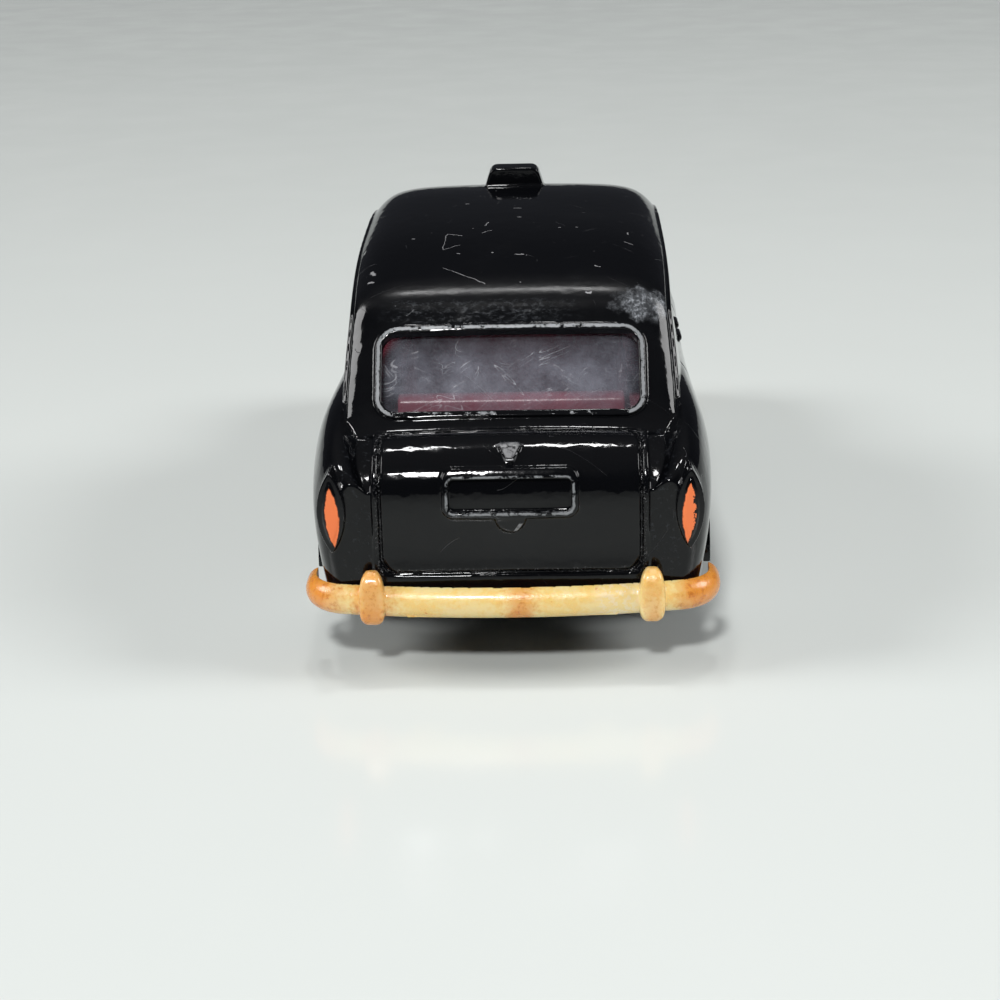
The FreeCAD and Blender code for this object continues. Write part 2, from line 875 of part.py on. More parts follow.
def boot_furniture():
    """The raised frame of the number plate, the lid's handle and its lock."""
    raised = boot_form(-number_plate_rise, sill_z)
    frame = raised.common(boot_panel(number_plate_half_width, number_plate_foot_z, number_plate_top_z,
                                     number_plate_corner))
    handle_top_z = boot_edge_z + boot_handle_rise / 2
    handle = boot_form(-boot_handle_rise, sill_z).common(
        upright_panel(boot_handle_half_width * boot_handle_low_share, boot_handle_half_width,
                      handle_top_z - boot_handle_height, handle_top_z, boot_handle_rise / 2,
                      boot_foot_y - overrun, boot_edge_y + boot_handle_reach))
    lock = boot_form(-lock_rise, sill_z).common(
        rod(lock_radius, overrun, V(0, boot_foot_y - wall, number_plate_foot_z), V(0, 1, 0)))
    return [frame, handle, lock]


def number_plate_hollow():
    """The sunken panel inside the number plate's frame."""
    panel = boot_panel(number_plate_half_width - number_plate_frame, number_plate_foot_z + number_plate_frame,
                       number_plate_top_z - number_plate_brow, number_plate_corner / 2)
    return panel.cut(boot_form(number_plate_recess, sill_z))


def shut_lines():
    """The grooves round the boot lid and the doors."""
    under = hull(shut_depth, 0)
    cutters = [boot_lid_prism(0).cut(boot_lid_prism(shut_line))]
    for outline in (front_door_outline, rear_door_outline):
        whole = side_panel(outline(0), door_corner, body_half_width + wall)
        core = side_panel(outline(shut_line), door_corner - shut_line, body_half_width + wall)
        cutters.append(whole.cut(core))
    return [cutter.cut(under) for cutter in cutters]


def post(y, top):
    """A screw post cast inside the body."""
    foot = plate_z + plate_thickness + seat_gap
    return rod(post_radius, top - foot, V(0, y, foot), V(0, 0, 1))


def post_hole(y):
    """The hole for the screw in a post."""
    return rod(screw_radius + axle_clearance, screw_length + overrun, V(0, y, plate_z), V(0, 0, 1))


def axle_keeper(side, axle_y, top):
    """A foot from above that keeps an axle down in its slots."""
    x = side * keeper_x
    low = tyre_radius + axle_radius + seat_gap
    return block(x - keeper_width / 2, x + keeper_width / 2, axle_y - keeper_length / 2,
                 axle_y + keeper_length / 2, low, top)


def body_shell():
    """The casting: outer form, hollow, openings, rails, lamps and posts."""
    outer = hull(0, 0)
    additions = []
    for axle_y in (front_axle_y, rear_axle_y):
        lip = arch(axle_y, arch_radius() + arch_lip, body_half_width - wall, body_half_width + arch_lip_rise)
        far = overall_length
        additions.append(lip.cut(block(-far, far, -far, far, -far, sill_z)))
    additions += [gutters(), roof_sign()]
    for lamp in (headlamp_pod(), tail_lamp()):
        additions += [lamp, mirrored(lamp)]
    additions += boot_furniture() + door_handles()
    raised_skin = cabin_form(-rear_window_frame_rise, cabin_floor_z)
    additions.append(rear_window_prism(0).common(raised_skin))
    outer = outer.fuse(tuple(additions))
    hollow = hull(wall, overrun)
    bonnet_inside = bonnet_rear_z - wall / 2
    posts = [post(front_post_y, bonnet_inside), post(rear_post_y, boot_edge_z - wall / 2)]
    posts += [axle_keeper(side, front_axle_y, bonnet_inside) for side in (-1, 1)]
    shell = outer.cut(hollow.cut(tuple(posts)))
    cutters = [rear_window_prism(rear_window_frame), screen_prism(), grille_seat(), number_plate_hollow()]
    cutters += [headlamp_hollow(), mirrored(headlamp_hollow())]
    cutters += [side_panel(front_window(), side_window_corner, body_half_width + wall)]
    cutters += [side_panel(rear_window(), side_window_corner, body_half_width + wall)]
    for axle_y in (front_axle_y, rear_axle_y):
        cutters.append(arch(axle_y, arch_radius(), arch_inner_x, body_half_width + overrun))
    cutters += [post_hole(front_post_y), post_hole(rear_post_y)] + shut_lines()
    return shell.cut(tuple(cutters))


def arch_radius():
    """Radius of the wheel arches."""
    return tyre_radius + arch_clearance


def grille_seat():
    """The shallow recess in the nose that the grille sits in."""
    return upright_panel(grille_half_width, grille_half_width, grille_foot_z, grille_top_z, grille_corner,
                         bonnet_nose_y - grille_seat_depth, bonnet_nose_y + overrun)


def radiator_grille():
    """The plated grille: a frame, a thin back and upright bars."""
    start = bonnet_nose_y - grille_seat_depth + fit_gap
    half = grille_half_width - fit_gap
    low = grille_foot_z + fit_gap
    high = grille_top_z - fit_gap
    frame = upright_panel(half, half, low, high, grille_corner, start, start + grille_depth)
    mouth = upright_panel(half - grille_frame, half - grille_frame, low + grille_frame, high - grille_frame,
                          grille_corner - grille_frame, start + grille_back, start + grille_depth + overrun)
    grille = frame.cut(mouth)
    pitch = 2 * (half - grille_frame) / (grille_bars + 1)
    bar_front = start + grille_depth - grille_bar_width
    for i in range(grille_bars):
        x = -half + grille_frame + pitch * (i + 1)
        bar = block(x - grille_bar_width / 2, x + grille_bar_width / 2, start, bar_front,
                    low + grille_frame / 2, high - grille_frame / 2)
        grille = grille.fuse(bar)
    return grille


def headlamp_lens(side):
    """A clear lens with a domed front."""
    radius = headlamp_radius - fit_gap
    back = headlamp_front_y - lens_rim + fit_gap
    sphere = (radius * radius + lens_dome * lens_dome) / (2 * lens_dome)

    def dome(r):
        return V(r, headlamp_front_y + lens_dome - sphere + math.sqrt(sphere * sphere - r * r), 0)

    profile = [
        line(V(0, back, 0), V(radius, back, 0)),
        line(V(radius, back, 0), dome(radius)),
        Part.Arc(dome(radius), dome(radius / 2), dome(0)).toShape(),
        line(dome(0), V(0, back, 0)),
    ]
    lens = Part.Face(Part.Wire(profile)).revolve(V(0, 0, 0), V(0, 1, 0), 360)
    lens.translate(V(side * headlamp_x, 0, headlamp_z))
    return lens


def bumper_turn():
    """Angle at which a bumper's bowed middle meets its round corners."""
    inner_half = bumper_half_width - bumper_thickness
    return math.asin((inner_half - bumper_corner) / (bumper_bow_radius - bumper_corner))


def bumper_point(angle, radius, front):
    """A point of a bumper's inner face on the bowed middle or on the right corner, by the angle turned."""
    sign = 1 if front else -1
    end_y = overall_length / 2 - bumper_thickness
    turn = bumper_turn()
    shift = bumper_bow_radius - radius
    x = shift * math.sin(turn) + radius * math.sin(angle)
    y = end_y - bumper_bow_radius + shift * math.cos(turn) + radius * math.cos(angle)
    return V(x, sign * y, bumper_z)


def bumper_path(front):
    """Plan line of a bumper's inner face: bowed middle, round corners, short returns."""
    turn = bumper_turn()
    square = math.pi / 2
    middle = bumper_point(0, bumper_bow_radius, front)
    right = bumper_point(turn, bumper_corner, front)
    corner_middle = bumper_point((turn + square) / 2, bumper_corner, front)
    corner_end = bumper_point(square, bumper_corner, front)
    tip = bumper_tip(front)

    def other(point):
        return V(-point.x, point.y, point.z)

    edges = [
        line(other(tip), other(corner_end)),
        Part.Arc(other(corner_end), other(corner_middle), other(right)).toShape(),
        Part.Arc(other(right), middle, right).toShape(),
        Part.Arc(right, corner_middle, corner_end).toShape(),
        line(corner_end, tip),
    ]
    return Part.Wire(edges)


def bumper_tip(front):
    """The right end of a bumper's inner face."""
    sign = 1 if front else -1
    corner_end = bumper_point(math.pi / 2, bumper_corner, front)
    return V(corner_end.x, corner_end.y - sign * bumper_return, bumper_z)


def bumper_section(front):
    """Section of the bumper bar at its left tip: flat inside, rounded outside."""
    tip = bumper_tip(front)
    low = V(-tip.x, tip.y, bumper_z - bumper_height / 2)
    high = V(-tip.x, tip.y, bumper_z + bumper_height / 2)
    outer = V(-tip.x - bumper_thickness, tip.y, bumper_z)
    return Part.Wire([Part.Arc(low, outer, high).toShape(), line(high, low)])


def overrider(side, front):
    """A rounded upright guard, wider in its middle than at its ends."""
    sign = 1 if front else -1
    back_y = bumper_point(math.asin(overrider_x / bumper_bow_radius), bumper_bow_radius, front).y
    wires = []
    for height_share, girth_share in zip(overrider_height_shares, overrider_girth_shares):
        z = overrider_z + overrider_height * (height_share - 1 / 2)
        half = overrider_width / 2 * girth_share
        depth = overrider_depth * girth_share
        corner = half / 2
        corners = [
            V(side * overrider_x - half, back_y, z),
            V(side * overrider_x + half, back_y, z),
            V(side * overrider_x + half, back_y + sign * depth, z),
            V(side * overrider_x - half, back_y + sign * depth, z),
        ]
        wires.append(rounded_face(corners, corner).OuterWire)
    return Part.makeLoft(wires, True, False)


def bumper(front):
    """A bumper moulding: bar, two overriders and two lugs that reach in under the body."""
    sign = 1 if front else -1
    bar = bumper_path(front).makePipeShell([bumper_section(front)], True, True)
    plate_end = plate_nose_y if front else plate_tail_y
    lug_start = plate_end + sign * fit_gap
    lug_end = bumper_point(math.asin(lug_x / bumper_bow_radius), bumper_bow_radius, front).y
    lug_end = lug_end + sign * bumper_thickness / 2
    for side in (-1, 1):
        bar = bar.fuse(overrider(side, front))
        x = side * lug_x
        lug = block(x - lug_width / 2, x + lug_width / 2, min(lug_start, lug_end), max(lug_start, lug_end),
                    lug_z, lug_z + lug_height)
        bar = bar.fuse(lug)
    return bar


def tray(margin, top):
    """The base plate's tray form, drawn in towards its foot."""
    wires = []
    for z, draft in ((plate_z + margin, plate_draft), (top, 0)):
        half = plate_half_width - draft - margin
        tail = plate_tail_y + draft + margin
        nose = plate_nose_y - draft - margin
        corners = [V(-half, tail, z), V(half, tail, z), V(half, nose, z), V(-half, nose, z)]
        wires.append(rounded_face(corners, plate_plan_corner - draft - margin).OuterWire)
    return Part.makeLoft(wires, True, True)


def wheel_notch(side, axle_y, margin):
    """The space that the base plate leaves round a wheel."""
    reach = tyre_radius + plate_wheel_notch + margin
    x0 = side * (plate_notch_x - margin)
    x1 = side * (plate_half_width + overrun)
    return block(min(x0, x1), max(x0, x1), axle_y - reach, axle_y + reach, 0, plate_rim_z + overrun)


def axle_guide(side, axle_y):
    """An upright lug that carries an axle."""
    x = side * guide_x
    return block(x - guide_thickness / 2, x + guide_thickness / 2, axle_y - guide_length / 2,
                 axle_y + guide_length / 2, plate_z + plate_thickness / 2, tub_z - fit_gap)


def axle_way(axle_y):
    """The slot, open at its top, for an axle through the guides and the plate's rim."""
    slot = axle_radius + axle_clearance
    reach = plate_half_width
    way = block(-reach, reach, axle_y - slot, axle_y + slot, tyre_radius, tub_z + overrun)
    return way.fuse(rod(slot, 2 * reach, V(-reach, axle_y, tyre_radius), V(1, 0, 0)))


def base_plate():
    """The base: a shallow tray with wheel notches, axle guides, stiffening ribs and a flat rest panel."""
    outer = tray(0, plate_rim_z)
    inner = tray(plate_thickness, plate_rim_z)
    for _, side, axle_y in wheel_centres():
        outer = outer.cut(wheel_notch(side, axle_y, 0))
        inner = inner.cut(wheel_notch(side, axle_y, plate_thickness))
    plate = outer.cut(inner)
    panel = flat_panel(-rest_panel_half_width, rest_panel_half_width, rest_panel_tail_y, rest_panel_nose_y,
                       rest_panel_corner, plate_z - rest_panel_rise, plate_z + plate_thickness / 2)
    plate = plate.fuse(panel)
    for side in (-1, 1):
        length = front_axle_y - rear_axle_y - 2 * (tyre_radius + plate_wheel_notch)
        start = rear_axle_y + tyre_radius + plate_wheel_notch
        rib = rod(rib_radius, length, V(side * guide_x, start, plate_z), V(0, 1, 0))
        plate = plate.fuse(rib.common(tray(0, plate_rim_z).fuse(rib_space())))
    plate = plate.fuse(tuple(underside_relief()))
    for _, side, axle_y in wheel_centres():
        plate = plate.fuse(axle_guide(side, axle_y))
    plate = plate.cut((axle_way(front_axle_y), axle_way(rear_axle_y)))
    for y in (front_post_y, rear_post_y):
        plate = plate.cut(rod(screw_radius + fit_gap, overrun, V(0, y, plate_z - wall), V(0, 0, 1)))
        plate = plate.cut(rod(screw_head_radius + fit_gap, screw_head_height + wall,
                              V(0, y, plate_z - wall), V(0, 0, 1)))
        plate = plate.fuse(screw_seat(y))
    return plate


def underside_relief():
    """The running gear as low panels cast on the base plate's underside, level with the rest panel."""
    low = plate_z - rest_panel_rise
    high = plate_z + plate_thickness / 2

    def pad(x0, x1, y0, y1):
        return flat_panel(x0, x1, y0, y1, relief_corner, low, high)

    sump_tail = front_post_y + sump_set
    panels = [
        pad(-sump_half_width, sump_half_width, sump_tail, sump_tail + sump_length),
        pad(-shaft_half_width, shaft_half_width, rear_axle_y, rest_panel_tail_y),
        rod(differential_radius, high - low, V(0, rear_axle_y, low), V(0, 0, 1)),
        pad(-guide_x, guide_x, rear_axle_y - shaft_half_width, rear_axle_y + shaft_half_width),
    ]
    silencer_tail = rear_axle_y + differential_radius
    for half, start, end in ((silencer_half_width, silencer_tail, silencer_tail + silencer_length),
                             (pipe_half_width, rear_post_y, silencer_tail + wall)):
        panels.append(pad(silencer_x - half, silencer_x + half, start, end))
    for side in (-1, 1):
        ends = sorted((side * arm_set, side * guide_x))
        panels.append(pad(ends[0], ends[1], front_axle_y - arm_half_width, front_axle_y + arm_half_width))
        x = side * guide_x
        for axle_y in (front_axle_y, rear_axle_y):
            panels.append(pad(x - spring_relief_half_width, x + spring_relief_half_width,
                              axle_y - spring_relief_half_length, axle_y + spring_relief_half_length))
    return panels


def rib_space():
    """The space under the base plate that a rib may stand in."""
    low = plate_z - rest_panel_rise
    return block(-plate_half_width, plate_half_width, plate_tail_y, plate_nose_y, low, plate_z)


def screw_seat(y):
    """A ring that carries a screw head, flush with the inside of the plate."""
    top = plate_z + plate_thickness
    ring = rod(screw_head_radius + fit_gap + wall / 2, plate_thickness - screw_head_height - fit_gap,
               V(0, y, plate_z + screw_head_height + fit_gap), V(0, 0, 1))
    return ring.cut(rod(screw_radius + fit_gap, top, V(0, y, 0), V(0, 0, 1)))


def base_screw(y):
    """A pan-head screw with a slot, driven up through the plate."""
    head = rod(screw_head_radius, screw_head_height, V(0, y, plate_z), V(0, 0, 1))
    shank = rod(screw_radius, screw_length, V(0, y, plate_z), V(0, 0, 1))
    slot = block(-screw_head_radius, screw_head_radius, y - screw_slot_width / 2, y + screw_slot_width / 2,
                 plate_z - wall, plate_z + screw_slot_depth)
    return head.fuse(shank).cut(slot)


def interior_tub():
    """The inside moulding: floor, side walls with ledges, rear bench, partition, front seat and dash."""
    half = tub_half_width
    t = tub_thickness
    outer = flat_panel(-half, half, tub_tail_y, tub_nose_y, tub_corner, tub_z, tub_flange_z + t)
    inner = flat_panel(-half + t, half - t, tub_tail_y + t, tub_nose_y - t, tub_corner - t / 2, tub_z + t,
                       tub_flange_z + overrun)
    tub = outer.cut(inner)
    ledge = block(-tub_flange_x, tub_flange_x, tub_tail_y + tub_corner, tub_nose_y - tub_corner, tub_flange_z,
                  tub_flange_z + t)
    reach = half - t / 2
    ledge = ledge.cut(block(-reach, reach, tub_tail_y, tub_nose_y, tub_z, tub_flange_z + overrun))
    tub = tub.fuse(ledge)
    seat_side = half - t / 2
    bench = cushion(-seat_side, seat_side, tub_tail_y + bench_back, tub_tail_y + bench_depth, tub_z + t / 2,
                    tub_z + t + bench_height)
    back_y = tub_tail_y + bench_back_set
    back_side = seat_side - wall
    back = cushion(-back_side, back_side, back_y, back_y + bench_back, tub_z + t / 2, bench_top_z)
    partition = block(-seat_side, seat_side, partition_y, partition_y + t, tub_z + t / 2, partition_z)
    x0 = driver_seat_x - driver_seat_width / 2
    x1 = min(driver_seat_x + driver_seat_width / 2, seat_side)
    seat = cushion(x0, x1, partition_y + t / 2, partition_y + driver_seat_depth, tub_z + t / 2,
                   tub_z + t + bench_height)
    seat_back = cushion(x0, x1, partition_y + t / 2, partition_y + t / 2 + bench_back, tub_z + t / 2,
                        partition_z - bench_round)
    dash_low_z = tub_flange_z - wall
    dash = cushion(-seat_side, seat_side, tub_nose_y - dash_depth, tub_nose_y - t / 2, dash_low_z, dash_z)
    for piece in (bench, back, partition, seat, seat_back, dash):
        tub = tub.fuse(piece)
    for side in (-1, 1):
        tub = tub.fuse(axle_keeper(side, rear_axle_y, tub_z + t / 2))
    return tub


def cushion(x0, x1, y0, y1, z0, z1):
    """A seat form with its long upper edges rounded."""
    radius = bench_round
    bend = radius * (1 - math.sqrt(0.5))
    low_rear = V(x0, y0, z0)
    low_front = V(x0, y1, z0)
    front_start = V(x0, y1, z1 - radius)
    front_end = V(x0, y1 - radius, z1)
    rear_start = V(x0, y0 + radius, z1)
    rear_end = V(x0, y0, z1 - radius)
    edges = [
        line(low_rear, low_front),
        line(low_front, front_start),
        Part.Arc(front_start, V(x0, y1 - bend, z1 - bend), front_end).toShape(),
        line(front_end, rear_start),
        Part.Arc(rear_start, V(x0, y0 + bend, z1 - bend), rear_end).toShape(),
        line(rear_end, low_rear),
    ]
    return Part.Face(Part.Wire(edges)).extrude(V(x1 - x0, 0, 0))


def steering_wheel():
    """A wheel with two spokes on a column that reaches the dash."""
    rim = Part.makeTorus(steering_radius, steering_rim)
    spoke = rod(steering_rim, 2 * steering_radius, V(-steering_radius, 0, 0), V(1, 0, 0))
    hub = rod(steering_hub, steering_hub, V(0, 0, -steering_hub), V(0, 0, 1))
    lean = math.radians(steering_lean)
    dash_y = tub_nose_y - dash_depth - seat_gap
    reach = (dash_y - steering_y - steering_rim * math.sin(lean)) / math.cos(lean)
    column = rod(steering_rim, reach, V(0, 0, -reach), V(0, 0, 1))
    wheel = rim.fuse(spoke).fuse(hub).fuse(column)
    wheel.rotate(V(0, 0, 0), V(1, 0, 0), 90 - steering_lean)
    wheel.translate(V(driver_seat_x, steering_y, steering_z))
    return wheel


def window_glazing():
    """One clear moulding that lines the roof and fills the windows from inside."""
    outer = cabin_form(wall + fit_gap, cabin_floor_z)
    inner = cabin_form(wall + fit_gap + glass, cabin_floor_z - overrun)
    reach = overall_length
    below = block(-reach, reach, -reach, reach, 0, glass_foot_z)
    return outer.cut(inner).cut(below)


def wheel_ring(profile_yz, centre_y, side):
    """A round part turned about a wheel's axis, from points given as distance outwards and radius."""
    x0 = side * track / 2
    points = [V(x0 + side * x, centre_y, tyre_radius + r) for x, r in profile_yz]
    face = Part.Face(Part.makePolygon(points + [points[0]]))
    return face.revolve(V(x0, centre_y, tyre_radius), V(1, 0, 0), 360)


def tyre(side, axle_y):
    """A tyre with bevelled shoulders and two grooves round its tread."""
    half = tyre_width / 2
    groove = tyre_groove_width / 2
    floor = tyre_radius - tyre_groove_depth
    groove_x = half * tyre_groove_share
    bevel = tyre_shoulder * tyre_shoulder_share
    profile = [
        (-half, tyre_bore_radius),
        (-half, tyre_radius - tyre_shoulder),
        (-half + tyre_shoulder / 2, tyre_radius - bevel),
        (-half + tyre_shoulder, tyre_radius),
        (-groove_x - groove, tyre_radius),
        (-groove_x, floor),
        (-groove_x + groove, tyre_radius),
        (groove_x - groove, tyre_radius),
        (groove_x, floor),
        (groove_x + groove, tyre_radius),
        (half - tyre_shoulder, tyre_radius),
        (half - tyre_shoulder / 2, tyre_radius - bevel),
        (half, tyre_radius - tyre_shoulder),
        (half, tyre_bore_radius),
    ]
    return wheel_ring(profile, axle_y, side)


def wheel_hub(side, axle_y):
    """A wheel with a dished face and a raised hub cap, bored for the axle."""
    half = tyre_width / 2
    bore = axle_radius + axle_clearance
    face = half - hub_dish_depth
    profile = [
        (-half + hub_flange, bore),
        (-half + hub_flange, tyre_bore_radius),
        (half - hub_flange / 2, tyre_bore_radius),
        (half - hub_flange / 2, tyre_bore_radius - hub_flange),
        (face, hub_dish_radius),
        (face, hub_cap_radius),
        (face + hub_cap_rise, hub_cap_radius - hub_cap_rise),
        (face + hub_cap_rise, bore),
    ]
    return wheel_ring(profile, axle_y, side)


def axle(axle_y):
    """A steel axle with an upset head outside each wheel."""
    outer = track / 2 + tyre_width / 2 - hub_dish_depth + hub_cap_rise + axle_head_gap
    half = outer + axle_head_thickness
    shaft = rod(axle_radius, 2 * half, V(-half, axle_y, tyre_radius), V(1, 0, 0))
    head = rod(axle_head_radius, axle_head_thickness, V(outer, axle_y, tyre_radius), V(1, 0, 0))
    return shaft.fuse(head).fuse(mirrored(head))


def nodes():
    """Every sub-part with its name."""
    made = {
        "body_shell": body_shell(),
        "window_glazing": window_glazing(),
        "interior_tub": interior_tub(),
        "steering_wheel": steering_wheel(),
        "base_plate": base_plate(),
        "base_screw_front": base_screw(front_post_y),
        "base_screw_rear": base_screw(rear_post_y),
        "radiator_grille": radiator_grille(),
        "headlamp_lens_left": headlamp_lens(-1),
        "headlamp_lens_right": headlamp_lens(1),
        "front_bumper": bumper(True),
        "rear_bumper": bumper(False),
        "front_axle": axle(front_axle_y),
        "rear_axle": axle(rear_axle_y),
    }
    for name, side, axle_y in wheel_centres():
        made[name + "_hub"] = wheel_hub(side, axle_y)
        made[name + "_tyre"] = tyre(side, axle_y)
    return made


os.makedirs("parts", exist_ok=True)
for node, shape in nodes().items():
    shape.exportStep("parts/" + node + ".step")
    print(node, "solids:", len(shape.Solids), "valid:", shape.isValid())
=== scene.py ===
"""Looks of a worn die-cast toy taxi: black paint over zinc, clear windows, maroon seats, aged bumpers."""
import logging
import math
from dataclasses import dataclass
from enum import Enum
from typing import Dict, Optional, Sequence, Tuple, Union

import bpy
import numpy as np
from bpy.types import ID, Material, Mesh, Node, NodeSocket as Socket, NodeTree, Object
from mathutils import Matrix, Vector


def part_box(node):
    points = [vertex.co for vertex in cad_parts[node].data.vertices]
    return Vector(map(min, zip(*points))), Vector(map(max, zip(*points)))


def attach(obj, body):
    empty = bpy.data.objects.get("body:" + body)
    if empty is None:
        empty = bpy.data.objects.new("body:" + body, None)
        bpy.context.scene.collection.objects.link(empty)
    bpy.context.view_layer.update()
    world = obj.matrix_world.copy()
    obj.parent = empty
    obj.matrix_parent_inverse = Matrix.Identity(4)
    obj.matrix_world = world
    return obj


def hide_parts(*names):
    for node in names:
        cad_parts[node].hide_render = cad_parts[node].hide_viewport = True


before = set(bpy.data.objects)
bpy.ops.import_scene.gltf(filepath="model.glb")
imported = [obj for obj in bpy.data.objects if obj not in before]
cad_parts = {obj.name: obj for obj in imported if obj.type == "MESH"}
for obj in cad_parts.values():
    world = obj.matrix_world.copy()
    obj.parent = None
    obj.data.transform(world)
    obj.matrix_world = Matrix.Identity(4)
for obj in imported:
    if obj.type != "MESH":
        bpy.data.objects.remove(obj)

log = logging.getLogger("toy_taxi")
MM = 0.001
PLASTIC_IOR = 1.49

Pair = Tuple[float, float]
Point = Tuple[float, float, float]
Colour = Point
Input = Union[float, Colour, Socket]
Inputs = Dict[str, Input]


class Side(Enum):
    """Left and right of the toy, by the sign of X."""

    LEFT = -1
    RIGHT = 1


class End(Enum):
    """The toy's two ends, as the CAD nodes name them."""

    FRONT = "front"
    REAR = "rear"


class Axis(Enum):
    """A measure of a place: its distance from the middle plane, or how far back or up it lies."""

    ASIDE = 0
    ALONG = 1
    UP = 2


Limit = Tuple[Axis, float, float]
Limits = Tuple[Limit, ...]


# Mesh work

def new_object(name: str, data: ID) -> Object:
    """Puts a mesh, a lamp or a camera into the scene as an object at the origin."""
    piece = bpy.data.objects.new(name, data)
    bpy.context.scene.collection.objects.link(piece)
    return piece


def face_outwards(piece: Object) -> None:
    """Turns the surface round if its signed volume, the sum of the corners' triple products, is negative."""
    mesh = piece.data
    mesh.calc_loop_triangles()
    corners = np.empty(len(mesh.loop_triangles) * 3, dtype=np.int64)
    mesh.loop_triangles.foreach_get("vertices", corners)
    places = vertex_places(mesh)[corners].reshape(-1, 3, 3)
    volume = np.einsum("ij,ij->i", places[:, 0], np.cross(places[:, 1], places[:, 2])).sum()
    if volume < 0:
        mesh.flip_normals()


def vertex_places(mesh: Mesh) -> np.ndarray:
    """The mesh's vertices as an array of shape (count, 3)."""
    places = np.empty(len(mesh.vertices) * 3)
    mesh.vertices.foreach_get("co", places)
    return places.reshape(-1, 3)


def turned(name: str, profile: np.ndarray, centre: Sequence[float], side: Side, wave: np.ndarray) -> Object:
    """Turns a closed profile about a line along X, into a surface that closes both ways.

    A profile point (a, r) at the angle t goes to (side * a, w r cos t, w r sin t), measured from the centre,
    where w is the wave's value for its row and angle. Rows and angles make a grid; the quad (i, j) has the
    corners (i, j), (i, j + 1), (i + 1, j + 1) and (i + 1, j), and the last row and column join the first.

    Args:
        name: The piece's name.
        profile: Array of shape (rows, 2): distance outwards and radius, once round the section.
        centre: Centre of the wheel, in millimetres.
        side: Which side of the toy the piece is on.
        wave: Factors for the radius, of shape (rows, steps).

    Returns:
        The new object, smooth shaded, with its place in its mesh.
    """
    rows, steps = wave.shape
    angle = np.linspace(0, 2 * np.pi, steps, endpoint=False)
    radius = profile[:, 1:2] * wave
    x = np.repeat(profile[:, 0:1] * side.value, steps, axis=1)
    grid = np.stack([x, radius * np.cos(angle), radius * np.sin(angle)], axis=-1) + np.asarray(centre)
    index = np.arange(rows * steps).reshape(rows, steps)
    ahead = np.roll(index, -1, axis=1)
    quads = np.stack([index, ahead, np.roll(ahead, -1, axis=0), np.roll(index, -1, axis=0)], axis=-1)
    mesh = bpy.data.meshes.new(name)
    mesh.from_pydata((grid.reshape(-1, 3) * MM).tolist(), [], quads.reshape(-1, 4).tolist())
    mesh.update()
    piece = new_object(name, mesh)
    face_outwards(piece)
    mesh.shade_smooth()
    return piece


def rounded_run(corners: Sequence[Sequence[float]], radii: Sequence[float], steps: int = 4) -> np.ndarray:
    """A closed outline with round corners, as an array of shape (corners * steps, 2).

    Each corner becomes the curve (1 - t)^2 a + 2 t (1 - t) corner + t^2 b, where a and b lie on its two
    sides at its radius from it.
    """
    points = np.asarray(corners, dtype=float)
    back = np.asarray(radii, dtype=float)[:, None]
    to_last = np.roll(points, 1, axis=0) - points
    to_next = np.roll(points, -1, axis=0) - points
    start = points + to_last / np.linalg.norm(to_last, axis=1, keepdims=True) * back
    end = points + to_next / np.linalg.norm(to_next, axis=1, keepdims=True) * back
    t = np.linspace(0, 1, steps)[None, :, None]
    run = (1 - t) ** 2 * start[:, None] + 2 * t * (1 - t) * points[:, None] + t ** 2 * end[:, None]
    return run.reshape(-1, 2)


def settle(piece: Object) -> None:
    """Applies the piece's modifiers and clears its old materials."""
    shown = piece.evaluated_get(bpy.context.evaluated_depsgraph_get())
    mesh = bpy.data.meshes.new_from_object(shown)
    old = piece.data
    piece.modifiers.clear()
    piece.data = mesh
    bpy.data.meshes.remove(old)
    mesh.materials.clear()


def mark_edges(piece: Object, rounds: int = 2) -> None:
    """Writes how sharply the surface bends out at each vertex into the attribute "bend".

    Along an edge the bend is the difference of the end normals times the edge's direction, divided by its
    length. A vertex takes the mean over its edges, and then a few rounds of means over its neighbours.
    It is positive on ridges and negative in grooves, per millimetre.

    Args:
        piece: The piece with its final mesh.
        rounds: How many times neighbours are averaged.
    """
    mesh = piece.data
    places = vertex_places(mesh)
    normals = np.empty(len(mesh.vertices) * 3)
    mesh.vertex_normals.foreach_get("vector", normals)
    normals = normals.reshape(-1, 3)
    pairs = np.empty(len(mesh.edges) * 2, dtype=np.int64)
    mesh.edges.foreach_get("vertices", pairs)
    a, b = pairs.reshape(-1, 2).T
    run = places[b] - places[a]
    square = np.maximum(np.einsum("ij,ij->i", run, run), 1e-12)
    bend = np.einsum("ij,ij->i", normals[b] - normals[a], run) / square
    count = np.maximum(np.bincount(a, minlength=len(places)) + np.bincount(b, minlength=len(places)), 1)
    value = (np.bincount(a, bend, len(places)) + np.bincount(b, bend, len(places))) / count
    for _ in range(rounds):
        value = (np.bincount(a, value[b], len(places)) + np.bincount(b, value[a], len(places))) / count
    attribute = mesh.attributes.new("bend", "FLOAT", "POINT")
    attribute.data.foreach_set("value", (value * MM).astype(np.float32))


